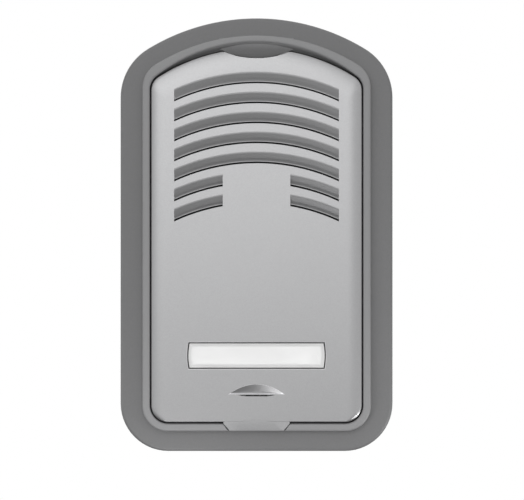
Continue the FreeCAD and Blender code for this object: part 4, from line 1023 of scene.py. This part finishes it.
# %% The other finishes
# each row: colour, roughness, grains to the metre, bump, and what else differs
PLAIN = {
    "base_plastic": ((0.14, 0.14, 0.145), 0.55, 1300.0, 0.02, dict(rub=0.2)),
    "gasket_foam": ((0.045, 0.045, 0.046), 0.92, 900.0, 0.12, dict(speckle=0.4)),
    "grommet_rubber": ((0.035, 0.035, 0.036), 0.62, 700.0, 0.015, dict(rub=0.1)),
    "screw_steel": ((0.62, 0.62, 0.63), 0.28, 900.0, 0.006, dict(
        metallic=1.0, speckle=0.12, drift=0.16, patches=160.0)),
    "speaker_cloth": ((0.028, 0.028, 0.028), 0.95, 1800.0, 0.03, dict(speckle=0.5)),
    "speaker_steel": ((0.55, 0.55, 0.54), 0.33, 700.0, 0.006, dict(
        metallic=1.0, speckle=0.1, drift=0.12, patches=60.0)),
    "ferrite": ((0.075, 0.075, 0.08), 0.58, 1100.0, 0.03, dict(speckle=0.3)),
    "film": ((0.72, 0.71, 0.67), 0.22, 400.0, 0.01, dict(speckle=0.04)),
    "coil_copper": ((0.70, 0.31, 0.15), 0.3, 1200.0, 0.02, dict(metallic=1.0)),
    "lead_red": ((0.52, 0.035, 0.025), 0.38, 500.0, 0.006, {}),
    "board_green": ((0.045, 0.20, 0.085), 0.28, 300.0, 0.01, {}),
    "tag_board": ((0.42, 0.30, 0.14), 0.5, 700.0, 0.01, dict(speckle=0.25)),
    "terminal_green": ((0.09, 0.32, 0.14), 0.45, 900.0, 0.01, {}),
    "component_black": ((0.03, 0.03, 0.03), 0.5, 1600.0, 0.015, {}),
    "can_aluminium": ((0.72, 0.72, 0.73), 0.3, 900.0, 0.005, dict(metallic=1.0)),
    "resistor_beige": ((0.60, 0.47, 0.30), 0.35, 500.0, 0.008, {}),
    "trimmer_blue": ((0.045, 0.14, 0.42), 0.4, 900.0, 0.008, {}),
    "rotor_white": ((0.76, 0.76, 0.73), 0.42, 900.0, 0.008, {}),
    "led_lens": ((0.85, 0.83, 0.66), 0.2, 500.0, 0.004, {}),
    "spring_steel": ((0.66, 0.66, 0.67), 0.18, 1200.0, 0.004, dict(metallic=1.0)),
}
FINISHES = {
    name: finish(name, colour, rough, grains=grains, bump=bump, **rest)
    for name, (colour, rough, grains, bump, rest) in PLAIN.items()
}
FINISHES.update(card_paper=card_paper, carrier_white=carrier_white)
traces, entry, leave = pattern_group("board_traces", [("Strength", 0.8)], ["Mask"])
place = add_node(traces, "TexCoord")
stand = add_node(traces, "Mapping", Rotation=(math.radians(90), 0, 0))
rows = add_node(traces, "TexBrick", Scale=1000.0, Brick_Width=6.5, Row_Height=1.5, Mortar_Size=0.12)
scaled = maths(traces, "MULTIPLY")
wire(
    traces, (place, "Object", stand, "Vector"), (stand, "Vector", rows, "Vector"), (rows, "Fac", scaled, 0),
    (entry, "Strength", scaled, 1), (scaled, 0, leave, "Mask"),
)
tree = FINISHES["board_green"].node_tree
add_tone(tree, place_group(tree, traces, Strength=0.8), "Mask")
print("finishes:", len(FINISHES) + 3)

# %% [markdown]
# Three thin black parts lie behind the plate. A black ring lies on the guide's
# rim, under the plate's skin: painted shade, a dark sheet that keeps the gap
# round the cap dark. A felt disc lies over the microphone's port. A dust cloth backs the ends
# of the louvres that reach past the speaker, with holes for the speaker and its
# screw bosses.

# %% Black ring of painted shade, felt and dust cloth
# painted shade: a black ring under the gap round the cap keeps that gap dark
gap_shade_ring = bmesh.new()
gap_shade_faces = (CARRIER_FRONT + 0.035, CARRIER_FRONT + 0.012)
skin(gap_shade_ring, [(-0.39, gap_shade_faces[0]), (1.2, gap_shade_faces[0]), (1.2, gap_shade_faces[1]), (-0.39, gap_shade_faces[1])],
     closed=True, draw=draw_window)
gap_shade_piece = to_piece(gap_shade_ring, "window_gap_shade", "call_button_carrier", FINISHES["gasket_foam"])
felt = round_bar(1.42, 0, 28.47, PORT_Z, 0.3, 40)
felt_piece = to_piece(felt, "microphone_felt", "mic_capsule", FINISHES["gasket_foam"])
dust = block(-36, 36, 29.15, 29.35, 4, 67)
holes = [round_bar(SPEAKER_R + 0.15, 0, 29.25, SPEAKER_Z, 4, 96)]
holes += [round_bar(3.0, x, 29.25, z, 4, 96) for x, z in CLAMPS]
to_piece(cut_with(dust, holes), "dust_cloth", "speaker_cloth", FINISHES["speaker_cloth"])

# %% Merged, softened copies of the remaining solids
DRESSED = {"surround_housing", "front_plate", "call_button_lens"}


def softened_copy(node, width):
    """A copy of a solid with flat faces joined up and its edges softened by a width."""
    mesh = bmesh.new()
    mesh.from_mesh(frame["nodes"][node].data)
    bmesh.ops.scale(mesh, vec=(1 / MM, 1 / MM, 1 / MM), verts=mesh.verts)
    bmesh.ops.remove_doubles(mesh, verts=mesh.verts, dist=2e-4)
    bmesh.ops.dissolve_limit(
        mesh, angle_limit=math.radians(0.6), verts=mesh.verts, edges=mesh.edges, use_dissolve_boundaries=False
    )
    material = FINISHES[SLOT_OF[node]]
    piece = to_piece(mesh, node + "_piece", node, material, sharp=32, tidy=False, weigh=False)
    if width:
        soft = piece.modifiers.new("soft_edges", "BEVEL")
        soft.width = width * MM
        soft.segments = 2
        soft.limit_method = "ANGLE"
        soft.angle_limit = math.radians(35)
        soft.use_clamp_overlap = True
        soft.harden_normals = False
    even_normals(piece)


BEVELS = {"button_springs": 0, "speaker_leads": 0, "mic_leads": 0, "speaker_diaphragm": 0,
          "speaker_cloth": 0.05, "wall_base": 0.2, "wall_gasket": 0.15}
for node in BODY_OF:
    if node not in DRESSED:
        softened_copy(node, BEVELS.get(node, 0.08))
print("copies dressed:", len(BODY_OF) - len(DRESSED))

# %% [markdown]
# ## Floor, light and camera
#
# The floor is a little below the station. Near the object it is a matt surface
# that keeps the shadow: pale to the camera, but dark grey to the light that
# bounces off it and in reflections, a painted shade that darkens what faces down
# on the station. Far away it fades to plain white for the camera, for gloss and
# for glass alone, so that the background is white without more light on the
# object. The sky does the same. One large soft lamp stands in front, to the left
# and above, and two small ones near the foot pick out the crescent and the lower
# bands.

# %% Floor and sky
def seen_mask(tree):
    """1 where the eye, a gloss or a clear part looks, 0 for the light that falls on things."""
    path = add_node(tree, "LightPath")
    first = maths(tree, "MAXIMUM")
    second = maths(tree, "MAXIMUM")
    wire(
        tree, (path, "Is Camera Ray", first, 0), (path, "Is Transmission Ray", first, 1),
        (first, 0, second, 0), (path, "Is Glossy Ray", second, 1),
    )
    return second


FLOOR_Z = -0.1475
# painted shade: the near floor is dark grey to everything but the camera
NEAR_FLOOR_PAINTED_SHADE = (0.24, 0.24, 0.24, 1)
NEAR_FLOOR_FOR_EYE = (0.86, 0.86, 0.86, 1)
SKY_ON_OBJECT = 0.64
floor_mesh = bmesh.new()
bmesh.ops.create_grid(floor_mesh, x_segments=24, y_segments=24, size=4.0)
bmesh.ops.translate(floor_mesh, verts=floor_mesh.verts, vec=(0, 0, FLOOR_Z))
floor = scene_object("floor", baked(floor_mesh, "floor"))
floor_paint = bpy.data.materials.new("floor_paint")
floor_paint.use_nodes = True
tree = floor_paint.node_tree
matt_floor = tree.nodes["Principled BSDF"]
matt_floor.inputs["Roughness"].default_value = 0.8
place = add_node(tree, "TexCoord")
shift = add_node(tree, "VectorMath", operation="ADD")
shift.inputs[1].default_value = (0, 0.08, 0)
reach = add_node(tree, "VectorMath", operation="LENGTH")
far = add_node(tree, "MapRange", interpolation_type="SMOOTHSTEP", From_Min=0.19, From_Max=0.36)
seen = seen_mask(tree)
eye = add_node(tree, "LightPath")
fade = maths(tree, "MULTIPLY")
white = add_node(tree, "Emission", Strength=1.0, Color=(1, 1, 1, 1))
blend = add_node(tree, "MixShader")
bounce = add_node(tree, "Mix", data_type="RGBA")
bounce.inputs["A"].default_value = NEAR_FLOOR_PAINTED_SHADE
bounce.inputs["B"].default_value = NEAR_FLOOR_FOR_EYE
wire(tree, (eye, "Is Camera Ray", bounce, "Factor"))
tree.links.new(bounce.outputs[2], matt_floor.inputs["Base Color"])
wire(
    tree, (place, "Object", shift, 0), (shift, "Vector", reach, 0), (reach, "Value", far, "Value"),
    (far, "Result", fade, 0), (seen, 0, fade, 1), (fade, 0, blend, 0), (matt_floor, "BSDF", blend, 1),
    (white, "Emission", blend, 2), (blend, "Shader", tree.nodes["Material Output"], "Surface"),
)
floor.data.materials.append(floor_paint)

sky = bpy.data.worlds.new("studio")
bpy.context.scene.world = sky
sky.use_nodes = True
tree = sky.node_tree
soft = tree.nodes["Background"]
soft.inputs["Color"].default_value = (1, 1, 1, 1)
soft.inputs["Strength"].default_value = SKY_ON_OBJECT
paper = add_node(tree, "Background", Strength=1.0, Color=(1, 1, 1, 1))
choice = add_node(tree, "MixShader")
wire(
    tree, (seen_mask(tree), 0, choice, 0), (soft, "Background", choice, 1),
    (paper, "Background", choice, 2), (choice, "Shader", tree.nodes["World Output"], "Surface"),
)
print("floor and sky ready")

# %% Lamps and camera
def lamp(name, place, aim, power, width, height):
    data = bpy.data.lights.new(name, "AREA")
    data.shape = "RECTANGLE"
    data.size = width
    data.size_y = height
    data.energy = power
    lamp_object = scene_object(name, data)
    lamp_object.location = place
    lamp_object.rotation_euler = (Vector(aim) - Vector(place)).to_track_quat("-Z", "Y").to_euler()
    lamp_object.visible_camera = False


lamp("key_lamp", (-0.14, -1.00, 0.27), (0, -0.03, 0.0), 2.1, 0.80, 0.56)
lamp("fill_lamp", (0.13, -0.08, -0.15), (0.05, -0.028, -0.085), 0.13, 0.06, 0.06)
lamp("low_lamp", (-0.045, -0.105, -0.135), (0.015, -0.03, 0.03), 0.035, 0.05, 0.04)

camera_data = bpy.data.cameras.new("camera")
camera_data.sensor_width = 36.0
camera_data.lens = 170.6
camera_data.clip_start = 0.05
camera = scene_object("camera", camera_data)
camera.location = (0.0022, -1.0318, -0.0062)
camera.rotation_euler = (math.radians(90), 0, 0)
bpy.context.scene.camera = camera
bpy.context.scene.view_settings.view_transform = "Standard"
print("camera sees", round(36 / camera_data.lens * 1000), "mm across at the plate")
